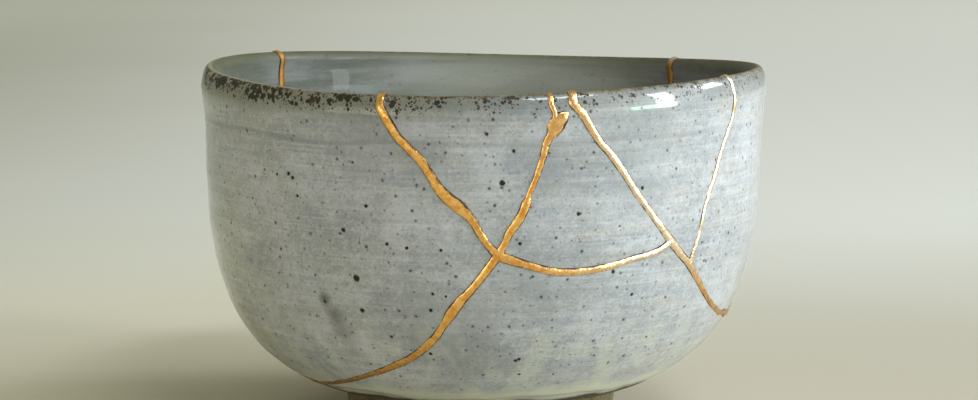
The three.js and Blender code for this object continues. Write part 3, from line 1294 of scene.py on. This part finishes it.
@dataclass
class GoldSeams:
    """The gold that fills and covers the cracks.

    Attributes:
        form: The bowl's sizes.
        step: Distance between the seam's sections.
        section_points: Points round a section.
        crown_share: A seam's height as a share of its width.
        most_crown: Greatest height of a seam.
        sink: How far a seam's underside lies in the glaze.
        seating: How far a whole seam is let into the glaze.
        inner_share: Width of a seam on the inside as a share of that on the outside.
        end_taper: Length over which a seam on the outside alone runs out.
        flatness: Thickness of a section before it is laid, as a share of its width.
        lens_power: Power that rounds a section off towards its edges.
        lump_height: Height of the uneven spots.
        lump_size: Size of the uneven spots.
        seed: Seed of the lumps.
    """

    form: BowlForm
    step: float = 0.5 * MM
    section_points: int = 20
    crown_share: float = 0.25
    most_crown: float = 0.42 * MM
    sink: float = 0.12 * MM
    seating: float = 0.03 * MM
    inner_share: float = 0.95
    end_taper: float = 0.9 * MM
    flatness: float = 0.02
    lens_power: float = 0.62
    lump_height: float = 0.12 * MM
    lump_size: float = 1.7 * MM
    seed: int = 7

    def path(self, crack: Crack) -> bpy.types.Object:
        """Makes a seam's middle line, up the outside, over the lip and down the inside.

        Args:
            crack: The crack that the seam covers.

        Returns:
            The line, with the seam's half width and crown at each point.
        """
        form = self.form
        angles, shares, widths = crack.samples(form, self.step)
        outside = form.wall_point(angles, shares, 0.0)
        if crack.side is Side.OUTSIDE:
            points = outside
        else:
            across = np.linspace(0, 1, 13)[1:-1]
            over = form.place(form.lip(across), np.full_like(across, angles[0]))
            coarse = slice(None, None, 2)
            inside = form.wall_point(angles, shares, 1.0)[coarse]
            points = np.concatenate([outside[::-1], over, inside])
            inner = widths[coarse] * self.inner_share
            widths = np.concatenate([widths[::-1], np.full(len(over), widths[0]), inner])
        half = widths / 2
        if crack.side is Side.OUTSIDE:
            taper = np.linalg.norm(points - points[-1], axis=1)
            half = half * np.sqrt(np.clip(taper / self.end_taper, 0.15, 1))
        crown = np.minimum(half * 2 * self.crown_share, self.most_crown)
        along = way_along(points)
        along -= along[len(outside) - 1]
        marks = {"half_width": half, "crown": crown, "along": along}
        return marked_line(crack.name + "_seam", points, marks)

    def tree(self) -> FormTree:
        """Builds the tree that lays a lens-shaped bead of gold along a line on the bowl's skin.

        Returns:
            The tree.
        """
        tree = FormTree("gold_bead")
        skin = tree.input("Skin", SocketKind.OBJECT)
        points = tree.input("Section Points", SocketKind.COUNT)
        sink = tree.input("Sink", SocketKind.LENGTH)
        lump_height = tree.input("Lump Height", SocketKind.LENGTH)
        lump_size = tree.input("Lump Size", SocketKind.LENGTH)
        seed = tree.input("Seed", SocketKind.LENGTH)
        material = tree.input("Material", SocketKind.MATERIAL)

        settings = {"transform_space": "RELATIVE"}
        body = tree.add("GeometryNodeObjectInfo", settings, {"Object": skin}, "Geometry")
        place = tree.add("GeometryNodeInputPosition")
        normal = tree.add("GeometryNodeInputNormal")
        sampled = {"Mesh": body, "Value": normal, "Sample Position": place}
        out = tree.add("GeometryNodeSampleNearestSurface", {"data_type": "FLOAT_VECTOR"}, sampled)
        line = tree.add("GeometryNodeMeshToCurve", None, {"Mesh": tree.start})
        line = tree.add("GeometryNodeSetCurveNormal", {"mode": "FREE"}, {"Curve": line, "Normal": out})
        section = tree.add("GeometryNodeCurvePrimitiveCircle", None, {"Resolution": points, "Radius": 1.0})
        rise, across, _ = tree.parts(place)
        section = tree.store(section, "rise", rise)
        section = tree.store(section, "across", across)
        flat = tree.vector(self.flatness * rise, across, 0.0)
        section = tree.add("GeometryNodeSetPosition", None, {"Geometry": section, "Position": flat})
        half = tree.read("half_width")
        swept = {"Curve": line, "Profile Curve": section, "Scale": half, "Fill Caps": True}
        bead = tree.add("GeometryNodeCurveToMesh", None, swept)

        sought = {"Geometry": body, "Sample Position": place}
        near = tree.add("GeometryNodeProximity", {"target_element": "FACES"}, sought, "Position")
        lens = (1 - tree.read("across") ** 2).at_least(0.0) ** self.lens_power
        side = tree.read("rise")
        above = side.ease(-0.02, 0.02)
        height = lens * (above * tree.read("crown") - (1 - above) * sink) - self.seating
        laid = tree.shifted(near, tree.scaled(out, height))
        bead = tree.add("GeometryNodeSetPosition", None, {"Geometry": bead, "Position": laid})
        at = tree.shifted(tree.scaled(place, 1 / lump_size), tree.vector(seed, 0.0, 0.0))
        lumps = tree.shake(at, 1.0, 2 * lump_height * (0.35 + 0.65 * above))
        bead = tree.add("GeometryNodeSetPosition", None, {"Geometry": bead, "Offset": lumps})
        marks = tree.vector(tree.read("along") / MM, tree.read("across"), 0.0)
        bead = tree.store(bead, UV_NAME, marks, "FLOAT2", "CORNER")
        names = ("rise", "across", "along", "half_width", "crown")
        tree.finish(tree.forget(bead, names), material)
        return tree

    def build(
        self, body: bpy.types.Object, blades: Sequence[bpy.types.Object], material: bpy.types.Material
    ) -> bpy.types.Object:
        """Makes all seams as one closed piece.

        Args:
            body: The uncut bowl.
            blades: The blades that cut the cracks.
            material: The gold.

        Returns:
            The gold.
        """
        tree = self.tree()
        values = {
            "Skin": body,
            "Section Points": self.section_points,
            "Sink": self.sink,
            "Lump Height": self.lump_height,
            "Lump Size": self.lump_size,
            "Seed": float(self.seed),
            "Material": material,
        }
        parts = []
        for crack in CRACKS:
            line = self.path(crack)
            line.data = tree.run(line, values)
            face_outward(line.data)
            parts.append(line)
        fills = []
        for blade in blades:
            fill = place_in_scene(blade.name + "_fill", blade.data.copy())
            combine(fill, body, Joining.COMMON)
            fill.data = evaluated_mesh(fill)
            fill.modifiers.clear()
            fill.data.materials.clear()
            fill.data.materials.append(material)
            fills.append(fill)
        whole = parts[0]
        for other in parts[1:] + fills:
            combine(whole, other, Joining.UNITE)
        mesh = evaluated_mesh(whole)
        for other in parts + fills:
            bpy.data.objects.remove(other)
        drop_slivers(mesh)
        mesh = max(loose_meshes(mesh), key=lambda part: len(part.vertices))
        piece = place_in_scene("gold_seams_laid", mesh)
        smooth(mesh, GOLD_CREASE)
        return piece


@dataclass(frozen=True)
class IronSpot:
    """A dark spot where iron in the clay came through the glaze.

    Attributes:
        angle: Angle in degrees.
        share: Share of the wall's height.
        radius: Radius in millimetres.
    """

    angle: float
    share: float
    radius: float


IRON_SPOTS = tuple(
    IronSpot(*row)
    for row in (
        (-40, 0.771, 0.45), (-39, 0.76, 0.45), (-25, 0.47, 0.75), (-24.5, 0.369, 0.5), (-27.2, 0.617, 0.5),
        (-18.2, 0.582, 0.38), (-14.3, 0.572, 0.35), (-7.8, 0.568, 0.35), (-9.5, 0.432, 0.35),
        (-7, 0.426, 0.3),
        (-10, 0.381, 0.42), (-18.8, 0.29, 0.32), (-10.8, 0.239, 0.4), (3.5, 0.771, 0.62), (5.5, 0.866, 0.35),
        (0.5, 0.919, 0.42), (7.5, 0.216, 0.4), (8.2, 0.221, 0.4), (8.8, 0.167, 0.32), (17, 0.161, 0.25),
        (38, 0.26, 0.28), (31, 0.408, 0.38), (26, 0.486, 0.42), (18, 0.669, 0.42), (7, 0.587, 0.36),
        (31.3, 0.732, 0.42), (58.5, 0.55, 0.32), (50.3, 0.479, 0.32), (-33, 0.386, 0.4), (-37.8, 0.706, 0.36),
        (-22.2, 0.694, 0.36), (-43.2, 0.765, 0.3), (150, 0.62, 0.7), (-155, 0.45, 0.5), (172, 0.35, 0.4),
        (-100, 0.55, 0.6), (105, 0.7, 0.5), (-75, 0.35, 0.45),
    )
)


def material_bench(name: str) -> tuple[bpy.types.Material, Bench]:
    """Makes an empty node material.

    Args:
        name: The material's name.

    Returns:
        The material and a bench on its tree.
    """
    material = bpy.data.materials.new(name)
    material.use_nodes = True
    material.node_tree.nodes.clear()
    return material, Bench(material.node_tree)


def end_material(bench: Bench, sockets: dict[str, Any]) -> None:
    """Adds the shader and the output of a material.

    Args:
        bench: The material's bench.
        sockets: Values or wires of the shader's inputs.
    """
    shader = bench.add("ShaderNodeBsdfPrincipled", None, sockets)
    output = bench.tree.nodes.new("ShaderNodeOutputMaterial")
    bench.tree.links.new(shader.socket, output.inputs["Surface"])


@dataclass(frozen=True)
class Tone:
    """A tone that a noise lays over the glaze.

    Attributes:
        start: Level of the noise at which the tone begins to change.
        end: Level at which the change ends.
        share: The tone's greatest share.
        colour: Its colour.
    """

    start: float
    end: float
    share: float
    colour: Colour


@dataclass(frozen=True)
class GlazeFinish:
    """The grey-blue glaze with iron specks, the brown lip and the bare foot, with painted light and shade in
    its colour.

    Attributes, apart from the colours:
        form: The bowl's sizes.
        well_light: Middle in millimetres of the painted pool of light on the inside.
        rib_drop: Millimetres below the lip at which a fine dark line runs round.
        rib_wander: How far that line swings in all, in millimetres.
        shine: Strength of the glaze's own reflection.
        coat: Weight of the clear layer over it.
        coat_roughness: Roughness of that layer.
    """

    form: BowlForm
    grey: Colour = srgb(158, 160, 167)
    pale: Colour = srgb(194, 196, 208)
    blue: Colour = srgb(130, 137, 151)
    beige: Colour = srgb(170, 162, 152)
    painted_olive_light_tint: Colour = srgb(154, 158, 138)
    cream: Colour = srgb(206, 209, 190)
    # Painted shade of the inside, and painted light on its back wall.
    well_with_painted_shade_and_light: Colour = srgb(64, 68, 56)
    well_back_painted_light: Colour = srgb(150, 153, 142)
    band_ground: Colour = srgb(108, 106, 80)
    inside_lip_painted_shade_colour: Colour = srgb(74, 76, 52)
    iron: Colour = srgb(28, 26, 8)
    rust: Colour = srgb(58, 34, 16)
    lip: Colour = srgb(112, 92, 62)
    lip_crest: Colour = srgb(146, 148, 122)
    smoke: Colour = srgb(116, 120, 126)
    murk: Colour = srgb(100, 103, 100)
    dent: Colour = srgb(86, 88, 76)
    clay: Colour = srgb(112, 102, 72)
    burnt_brown_and_painted_shade: Colour = srgb(56, 48, 28)
    well_light: tuple[float, float, float] = (8.0, 56.0, 64.0)
    rib_drop: float = 10.3
    rib_wander: float = 3.0
    shine: float = 0.28
    coat: float = 0.9
    coat_roughness: float = 0.05

    def build(self) -> bpy.types.Material:
        """Makes the material.

        Returns:
            The material.
        """
        material, bench = material_bench("grey_glaze_on_stoneware")
        at = bench.place_in_mm()
        drop, inside = bench.skin_marks()
        x, _, z = bench.parts(at)
        colour = self._ground(bench, at, z, inside)
        pooled = bench.bands(at, 0.05, 0.35, 4.0, 0.6)
        # Painted shade and light: the inside is painted dark, with a painted pool of light on the back wall.
        well_with_painted_shade_and_light = bench.blend(bench.near(at, self.well_light, 8.0, 46.0), self.well_with_painted_shade_and_light, self.well_back_painted_light)
        well_with_painted_shade_and_light = bench.blend(pooled.ease(0.4, 0.6, 0.12, 0.0), well_with_painted_shade_and_light, self.pale)
        colour = bench.blend(inside * 0.88, colour, well_with_painted_shade_and_light)
        warped = bench.shifted(at, bench.shake(at, 1.6, 0.42))
        colour, gathered = self._speckled_lip(bench, colour, warped, x, drop, inside)
        specks = self._specks(bench, warped) * (1 - inside * 0.7)
        colour = bench.blend(specks, colour, self.iron)
        matt = specks.at_least(gathered)
        above = z - glaze_edge(bench, at)
        outside = 1 - inside
        pool = above.ease(-0.2, 0.5) * above.ease(1.2, 4.2, 1.0, 0.0) * outside
        colour = bench.blend(pool * 0.92, colour, self.cream)
        bare = above.ease(-0.7, -0.1, 1.0, 0.0) * outside
        grit = bench.noise(at, 1.1, 4.0, 0.65)
        clay = bench.blend(grit.ease(0.4, 0.66) * 0.75, self.clay, self.burnt_brown_and_painted_shade)
        # Painted shade: the bare clay just below the glaze's edge is darkened.
        painted_shade_below_glaze = above.ease(-2.4, -0.6) * 0.75
        clay = bench.blend(painted_shade_below_glaze, clay, self.burnt_brown_and_painted_shade)
        colour = bench.blend(bare, colour, clay)
        peel = bench.noise(at, 1 / 1.5, 3.0, 0.5)
        turning = bench.bands(at, 0.05, 2.6, 2.0)
        height = peel * (1 - bare) + (grit * 0.8 + turning * 1.6) * bare - specks * 0.35
        glossy = bench.noise(at, 1 / 7, 3.0, 0.6)
        shader = {
            "Base Color": colour,
            "Roughness": 0.24 + glossy * 0.16 + matt * 0.3 + bare * 0.42 + inside * 0.3,
            "Specular IOR Level": self.shine,
            "Coat Weight": self.coat * (1 - bare) * (1 - inside * 0.9) * (1 - matt),
            "Coat Roughness": self.coat_roughness,
            "Normal": bench.bump(height, 0.16, 0.25 * MM),
        }
        end_material(bench, shader)
        return material

    @staticmethod
    def _toned(bench: Bench, colour: Wire, noise: Wire, high: Tone, low: Tone) -> Wire:
        """Lays one tone where a noise is high and another where it is low.

        Args:
            bench: The material's bench.
            colour: The colour so far.
            noise: The noise.
            high: Tone of its high places.
            low: Tone of its low places.

        Returns:
            The colour with both tones.
        """
        colour = bench.blend(noise.ease(high.start, high.end) * high.share, colour, high.colour)
        return bench.blend(noise.ease(low.start, low.end, 1.0, 0.0) * low.share, colour, low.colour)

    def _ground(self, bench: Bench, at: Wire, z: Wire, inside: Wire) -> Wire:
        """Works out the glaze's clouded and brushed colour, with painted light and painted reflections laid
        in.

        Args:
            bench: The material's bench.
            at: Place in millimetres.
            z: Its height.
            inside: 1 on the inside and 0 outside.

        Returns:
            The colour.
        """
        clouds = bench.noise(at, 1 / 24, 3.0, 0.5)
        x, _, _ = bench.parts(at)
        # Painted light: the glaze is tinted olive towards the left, where warm light falls on it.
        left_painted_olive_light = (x + clouds * 60 + z * 0.3).ease(-26, 30, 1.0, 0.12)
        colour = bench.blend(left_painted_olive_light, self.grey, self.painted_olive_light_tint)
        cloudy = bench.noise(at, 1 / 11, 4.0, 0.6)
        high, low = Tone(0.5, 0.66, 0.32, self.smoke), Tone(0.34, 0.48, 0.26, self.pale)
        colour = self._toned(bench, colour, cloudy, high, low)
        swept = bench.bands(at, 0.055, 0.2, 5.0, 0.62)
        high, low = Tone(0.5, 0.68, 0.46, self.blue), Tone(0.34, 0.5, 0.3, self.pale)
        colour = self._toned(bench, colour, swept, high, low)
        warm = bench.bands(at, 0.075, 0.42, 4.0, 0.65)
        colour = bench.blend(warm.ease(0.5, 0.64) * x.ease(-30, 20, 0.1, 0.36), colour, self.beige)
        brushed = bench.bands(at, 0.05, 0.95, 3.0, 0.6)
        high, low = Tone(0.5, 0.72, 0.3, self.pale), Tone(0.3, 0.46, 0.25, self.blue)
        colour = self._toned(bench, colour, brushed, high, low)
        lines = bench.bands(at, 0.03, 2.2, 2.0, 0.6)
        high, low = Tone(0.54, 0.7, 0.24, self.pale), Tone(0.3, 0.44, 0.22, self.smoke)
        colour = self._toned(bench, colour, lines, high, low)
        mottle = bench.noise(at, 1 / 2.0, 5.0, 0.72)
        high, low = Tone(0.52, 0.66, 0.5, self.blue), Tone(0.36, 0.48, 0.3, self.pale)
        colour = self._toned(bench, colour, mottle, high, low)
        grain = bench.noise(at, 1 / 0.55, 2.0, 0.6)
        high, low = Tone(0.54, 0.7, 0.4, self.smoke), Tone(0.3, 0.46, 0.36, self.pale)
        colour = self._toned(bench, colour, grain, high, low)
        warp = bench.shifted(at, bench.shake(at, 0.12, 14.0, 3.0))
        # Pale and smoky patches; the first pale ones are painted reflections.
        for clouds_of_one_tone, tone in ((PALE_CLOUDS_AND_PAINTED_REFLECTIONS, self.pale), (SMOKY_CLOUDS, self.smoke)):
            for cloud in clouds_of_one_tone:
                centre = self.form.outer_spot(cloud.angle, cloud.share) / MM
                mark = bench.near(warp, centre, 0.0, cloud.reach) * cloud.strength
                colour = bench.blend(mark, colour, tone)
        drips = bench.bands(at, 0.16, 0.035, 3.0, 0.6)
        low = z.ease(12, 38, 1.0, 0.0) * (1 - inside)
        colour = bench.blend(drips.ease(0.45, 0.62) * low * 0.36, colour, self.cream)
        for row, dent in enumerate(THUMB_DENT):
            centre = self.form.outer_spot(dent.angle, dent.share) / MM
            mark = bench.near(at, centre, 0.0, dent.reach * 0.8) * (0.9 - 0.2 * row)
            colour = bench.blend(mark, colour, self.dent)
        return colour

    def _speckled_lip(
        self, bench: Bench, colour: Wire, at: Wire, x: Wire, drop: Wire, inside: Wire
    ) -> tuple[Wire, Wire]:
        """Adds the iron that gathers under the lip, most on the left, the lip's brown edge, and painted shade
        just inside the lip and on the far crest.

        Args:
            bench: The material's bench.
            colour: The glaze's colour so far.
            at: Place in millimetres.
            x: Its part to the right.
            drop: Millimetres below the lip's crest.
            inside: 1 on the inside and 0 outside.

        Returns:
            The colour, and where iron lies.
        """
        under = (1 - inside) * x.ease(-52, -6, 1.0, 0.76) * x.ease(-6, 28, 1.0, 0.68)
        shade = drop.ease(1.5, 8.5, 1.0, 0.0) * (1 - inside) * x.ease(-30, 30, 1.0, 0.75)
        murky = bench.blend(x.ease(-30, 10), self.band_ground, self.murk)
        colour = bench.blend(shade.ease(0.05, 0.95) * 0.78, colour, murky)
        rib_swing = (bench.noise(at, 1 / 30, 2.0) - 0.5) * self.rib_wander
        rib_line = (drop - self.rib_drop - rib_swing).size().ease(0.15, 0.8, 1.0, 0.0)
        colour = bench.blend(rib_line * (1 - inside) * x.ease(-60, 50, 0.5, 0.2), colour, self.smoke)
        # Painted shade: the inside is darkened just below the lip.
        inside_lip_painted_shade = inside * drop.ease(0.6, 4.5, 1.0, 0.0)
        colour = bench.blend(inside_lip_painted_shade * 0.85, colour, self.inside_lip_painted_shade_colour)
        crest = drop.ease(0.15, 0.75, 1.0, 0.0)
        _, y, _ = bench.parts(at)
        # The crest is paler on the near side; towards the far side it takes the band's darker ground as
        # painted shade.
        crest_tone_with_far_painted_shade = bench.blend(y.ease(-10, 25), self.lip_crest, self.band_ground)
        colour = bench.blend(crest * 0.75, colour, crest_tone_with_far_painted_shade)
        patches = bench.noise(at, 1 / 3.4, 3.0, 0.6)
        close = drop.ease(0.0, 0.6) * drop.ease(1.6, 7.0, 1.0, 0.0) * under
        rusty = bench.noise(at, 1 / 2.3, 2.0)
        iron = bench.blend(rusty.ease(0.56, 0.68), self.iron, self.rust)
        reach = close * (0.7 + (patches - 0.5) * 2.3)
        gathered: Number = 0.0
        for scale, growth in ((0.85, 0.78), (1.7, 0.72)):
            cells = bench.add("ShaderNodeTexVoronoi", None, {"Vector": at, "Scale": scale}, "Distance")
            gathered = (reach * growth - cells).ease(-0.02, 0.16).at_least(gathered)
        colour = bench.blend(gathered * 0.94, colour, iron)
        worn = bench.noise(at, 1 / 1.8, 4.0, 0.7)
        right = x.ease(-34, -12)
        edge = (drop + (worn - 0.5) * 3.6).ease(0.2, 1.1, 1.0, 0.0) * (0.35 + 0.65 * right)
        colour = bench.blend(edge * 0.9, colour, bench.blend(rusty.ease(0.42, 0.56), self.lip, self.burnt_brown_and_painted_shade))
        return colour, gathered.at_least(edge * 0.5).at_least(shade * x.ease(-35, -5, 0.5, 0.0))

    def _specks(self, bench: Bench, at: Wire) -> Wire:
        """Marks the iron specks, fine ones anywhere and large ones in their places.

        Args:
            bench: The material's bench.
            at: Place in millimetres.

        Returns:
            The specks, from 0 to 1.
        """
        fine = ((0.34, 0.03, 0.17, 0.9), (0.46, 0.03, 0.19, 0.66), (0.62, 0.04, 0.15, 0.6))
        marks: Number = 0.0
        for scale, core, rim, strength in fine:
            cells = bench.add("ShaderNodeTexVoronoi", None, {"Vector": at, "Scale": scale}, "Distance")
            marks = cells.ease(core, rim, strength, 0.0).at_least(marks)
        for spot in IRON_SPOTS:
            centre = self.form.outer_spot(spot.angle, spot.share) / MM
            marks = bench.near(at, centre, spot.radius * 0.65, spot.radius * 1.25).at_least(marks)
        return marks


@dataclass(frozen=True)
class BrokenClayFinish:
    """The bare clay inside a break."""

    light: Colour = srgb(176, 164, 140)
    dark: Colour = srgb(138, 120, 94)

    def build(self) -> bpy.types.Material:
        """Makes the material.

        Returns:
            The material.
        """
        material, bench = material_bench("broken_stoneware")
        grit = bench.noise(bench.place_in_mm(), 1.3, 4.0, 0.7)
        colour = bench.blend(grit.ease(0.38, 0.62), self.dark, self.light)
        bump = bench.bump(grit, 0.6, 0.2 * MM)
        end_material(bench, {"Base Color": colour, "Roughness": 0.85, "Normal": bump})
        return material


@dataclass(frozen=True)
class GoldFinish:
    """Gold powder burnished on lacquer, with the lacquer showing along the edges, and painted light and shade
    in its colour.
    """

    bright: Colour = (1.0, 0.6, 0.2, 1.0)
    worn: Colour = (0.86, 0.4, 0.09, 1.0)
    pale: Colour = (1.0, 0.84, 0.66, 1.0)
    painted_shade_gold: Colour = (0.3, 0.15, 0.04, 1.0)
    lacquer: Colour = srgb(52, 24, 12)

    def build(self) -> bpy.types.Material:
        """Makes the material.

        Returns:
            The material.
        """
        material, bench = material_bench("burnished_gold_on_lacquer")
        at = bench.place_in_mm()
        along, across = bench.skin_marks()
        grain = bench.noise(at, 1 / 1.3, 3.0, 0.6)
        colour = bench.blend(grain.ease(0.35, 0.66), self.worn, self.bright)
        inside = along.ease(3.0, 6.0)
        x, _, z = bench.parts(at)
        # Painted highlight: the gold turns paler on the upper right, where light falls on it.
        colour = bench.blend(x.ease(6.0, 34.0) * z.ease(28.0, 44.0) * 0.85, colour, self.pale)
        # Painted shade: the gold is darkened on the inside and towards the bottom.
        shaded = z.ease(9.0, 36.0, 0.7, 0.0)
        colour = bench.blend(inside.at_least(shaded), colour, self.painted_shade_gold)
        frayed = bench.noise(at, 1 / 3.1, 3.0, 0.6)
        # Lacquer shows along both edges, wider on one side, where it also stands for the seam's shadow as
        # painted shade.
        lacquer_edge_and_painted_shadow = ((across + 0.06).size() + (frayed - 0.5) * 0.9).ease(0.74, 0.88)
        colour = bench.blend(lacquer_edge_and_painted_shadow, colour, self.lacquer)
        powder = bench.noise(at, 1 / 0.4, 3.0, 0.7)
        bump = bench.bump(grain + powder * 0.12, 0.7, 0.26 * MM)
        shader = {
            "Base Color": colour,
            "Metallic": 1 - lacquer_edge_and_painted_shadow,
            "Roughness": 0.16 + grain * 0.22 + inside * 0.3,
            "Normal": bump,
        }
        end_material(bench, shader)
        return material


@dataclass(frozen=True)
class SoftLight:
    """A rectangular soft light aimed at the bowl."""

    name: str
    azimuth: float
    elevation: float
    distance: float
    width: float
    height: float
    power: float
    colour: tuple[float, float, float]
    mirrored: bool = True

    def build(self, target: tuple[float, float, float]) -> None:
        """Makes the light.

        Args:
            target: The point that it faces.
        """
        light = bpy.data.lights.new(self.name, "AREA")
        light.shape = "RECTANGLE"
        light.size, light.size_y = self.width, self.height
        light.energy = self.power
        light.color = self.colour
        lamp = bpy.data.objects.new(self.name, light)
        lamp.visible_camera = False
        lamp.visible_glossy = self.mirrored
        bpy.context.scene.collection.objects.link(lamp)
        turn, rise = math.radians(self.azimuth), math.radians(self.elevation)
        away = (math.sin(turn) * math.cos(rise), -math.cos(turn) * math.cos(rise), math.sin(rise))
        lamp.location = [centre + self.distance * step for centre, step in zip(target, away)]
        back = Vector(away)
        lamp.rotation_euler = back.to_track_quat("Z", "Y").to_euler()


@dataclass
class Studio:
    """The pale floor with painted light and shade, the soft lights and the camera."""

    floor_far: Colour = (0.64, 0.65, 0.63, 1.0)
    floor_far_left_painted_shade: Colour = (0.42, 0.42, 0.36, 1.0)
    floor_far_painted_light: Colour = (0.84, 0.86, 0.8, 1.0)
    floor_near: Colour = (0.43, 0.4, 0.335, 1.0)
    floor_near_left_painted_light: Colour = (0.56, 0.525, 0.4, 1.0)
    sky_colour: Colour = (0.385, 0.385, 0.3, 1.0)
    sky_strength: float = 1.0
    lights: tuple[SoftLight, ...] = field(
        default_factory=lambda: (
            SoftLight("right_window", 106, 29, 4.0, 3.0, 2.0, 77.0, (0.92, 0.94, 1.0), mirrored=False),
            SoftLight("right_card", 76, 22, 3.0, 2.6, 1.4, 12.0, (0.94, 0.97, 1.0)),
            SoftLight("tall_window", 72.8, 14, 0.7, 0.115, 0.42, 3.2, (0.97, 1.0, 1.0)),
            SoftLight("far_window", 107, 24, 3.0, 0.7, 0.6, 24.0, (0.95, 1.0, 1.0)),
            SoftLight("garden_window", 62.3, 5.3, 0.7, 0.158, 0.17, 1.1, (0.62, 1.0, 0.82)),
            SoftLight("front_window", 37, 52, 3.0, 1.25, 0.5, 24.0, (0.9, 0.96, 1.0)),
            SoftLight("side_card", 46, 9, 3.0, 1.3, 0.8, 6.5, (0.92, 0.96, 1.0)),
            SoftLight("front_card", -24, 12, 3.0, 3.0, 1.0, 8.0, (1.0, 0.98, 0.94)),
            SoftLight("left_card", -50, 9, 3.0, 1.6, 0.9, 9.0, (1.0, 1.0, 0.86)),
        )
    )
    light_target: tuple[float, float, float] = (0.0, 0.0, 0.04)
    floor_reach: float = 9.0
    floor_sink: float = 0.02 * MM
    camera_place: tuple[float, float, float] = (0.0, -0.5, 0.1102)
    camera_pitch: float = 7.4
    camera_roll: float = -0.1
    image_width: int = 978
    focal_pixels: float = 2367.0
    middle_pixel: float = 484.2

    def build_floor(self) -> None:
        """Makes the floor, wide enough to fill the view, with painted light and shade in its colour."""
        mesh = bpy.data.meshes.new("pale_floor")
        grid = bmesh.new()
        bmesh.ops.create_grid(grid, x_segments=24, y_segments=24, size=self.floor_reach)
        bmesh.ops.translate(grid, verts=grid.verts[:], vec=(0, 0, -self.floor_sink))
        grid.to_mesh(mesh)
        grid.free()
        floor = place_in_scene("pale_floor", mesh)
        material, bench = material_bench("pale_tabletop")
        place = bench.add("ShaderNodeTexCoord", output="Object")
        x, y, _ = bench.parts(place)
        cloud = bench.noise(place, 3.0, 2.0)
        # Painted shade: the far floor darkens towards the left.
        far = bench.blend((x + cloud * 0.1).ease(-0.35, 0.1), self.floor_far_left_painted_shade, self.floor_far)
        # Painted light: the near floor is lighter on the left, where the bowl's shadow falls.
        near = bench.blend(x.ease(-0.12, 0.14), self.floor_near_left_painted_light, self.floor_near)
        colour = bench.blend((y + cloud * 0.3).ease(0.12, 0.5), near, far)
        # Painted light: the floor brightens far away.
        colour = bench.blend(y.ease(0.8, 2.0) * 0.4, colour, self.floor_far_painted_light)
        end_material(bench, {"Base Color": colour, "Roughness": 0.75})
        mesh.materials.append(material)

    def build_light(self) -> None:
        """Makes the sky and the lights."""
        world = bpy.data.worlds.new("soft_room_light")
        world.use_nodes = True
        background = world.node_tree.nodes["Background"]
        background.inputs["Color"].default_value = self.sky_colour
        background.inputs["Strength"].default_value = self.sky_strength
        bpy.context.scene.world = world
        bpy.context.scene.view_settings.view_transform = "Standard"
        for light in self.lights:
            light.build(self.light_target)

    def build_camera(self) -> None:
        """Makes the camera at the photograph's viewing angle."""
        lens = bpy.data.cameras.new("camera")
        lens.sensor_width = 36.0
        lens.lens = self.focal_pixels / self.image_width * lens.sensor_width
        lens.shift_x = (self.image_width / 2 - self.middle_pixel) / self.image_width
        lens.clip_start, lens.clip_end = 0.01, 50.0
        camera = bpy.data.objects.new("camera", lens)
        bpy.context.scene.collection.objects.link(camera)
        camera.location = self.camera_place
        roll = math.radians(self.camera_roll)
        tilt = Matrix.Rotation(math.radians(90 - self.camera_pitch), 4, "X")
        camera.rotation_euler = (tilt @ Matrix.Rotation(roll, 4, "Z")).to_euler()
        bpy.context.scene.camera = camera


@dataclass
class KintsugiBowl:
    """The mended bowl."""

    form: BowlForm = field(default_factory=BowlForm)

    def build(self) -> None:
        """Builds, dresses and places every piece of the bowl."""
        glaze = GlazeFinish(self.form).build()
        gold = GoldFinish().build()
        body = ThrownBody(self.form).build(glaze)
        LOG.info("thrown body: %d faces", len(body.data.polygons))
        breaker = BrokenWall(self.form)
        clay = BrokenClayFinish().build()
        blades = [breaker.blade(crack, clay) for crack in CRACKS if crack.side is Side.THROUGH]
        seams = GoldSeams(self.form).build(body, blades, gold)
        self._settle(seams, "gold_seams")
        sherds = breaker.cut(body, blades)
        LOG.info("the body broke into %d pieces", len(sherds))
        self._name_sherds(sherds)
        for helper in [body, *blades]:
            bpy.data.objects.remove(helper)

    def _settle(self, piece: bpy.types.Object, node: str) -> None:
        """Rides a piece on the body in place of its solid.

        Args:
            piece: The piece.
            node: The solid that it replaces.
        """
        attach(piece, BODY)
        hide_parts(node)
        LOG.info("%s: %d faces", piece.name, len(piece.data.polygons))

    def _name_sherds(self, sherds: Sequence[bpy.types.Mesh]) -> None:
        """Finds which sherd each loose piece is, and places it.

        Args:
            sherds: The loose pieces.
        """
        places = []
        for mesh in sherds:
            points = np.zeros(len(mesh.vertices) * 3, np.float32)
            mesh.vertices.foreach_get("co", points)
            places.append(points.reshape(-1, 3))
        for node, (angle, share) in SHERD_SEATS.items():
            seat = self.form.outer_spot(angle, share)
            distances = [float(np.linalg.norm(points - seat, axis=1).min()) for points in places]
            mesh = sherds[int(np.argmin(distances))]
            smooth(mesh, SHERD_CREASE)
            self._settle(place_in_scene(node + "_glazed", mesh), node)


def main() -> None:
    """Builds the studio and the bowl."""
    logging.basicConfig(level=logging.INFO, format="%(name)s: %(message)s")
    studio = Studio()
    studio.build_floor()
    studio.build_light()
    studio.build_camera()
    KintsugiBowl().build()


if __name__ == "__main__":
    main()
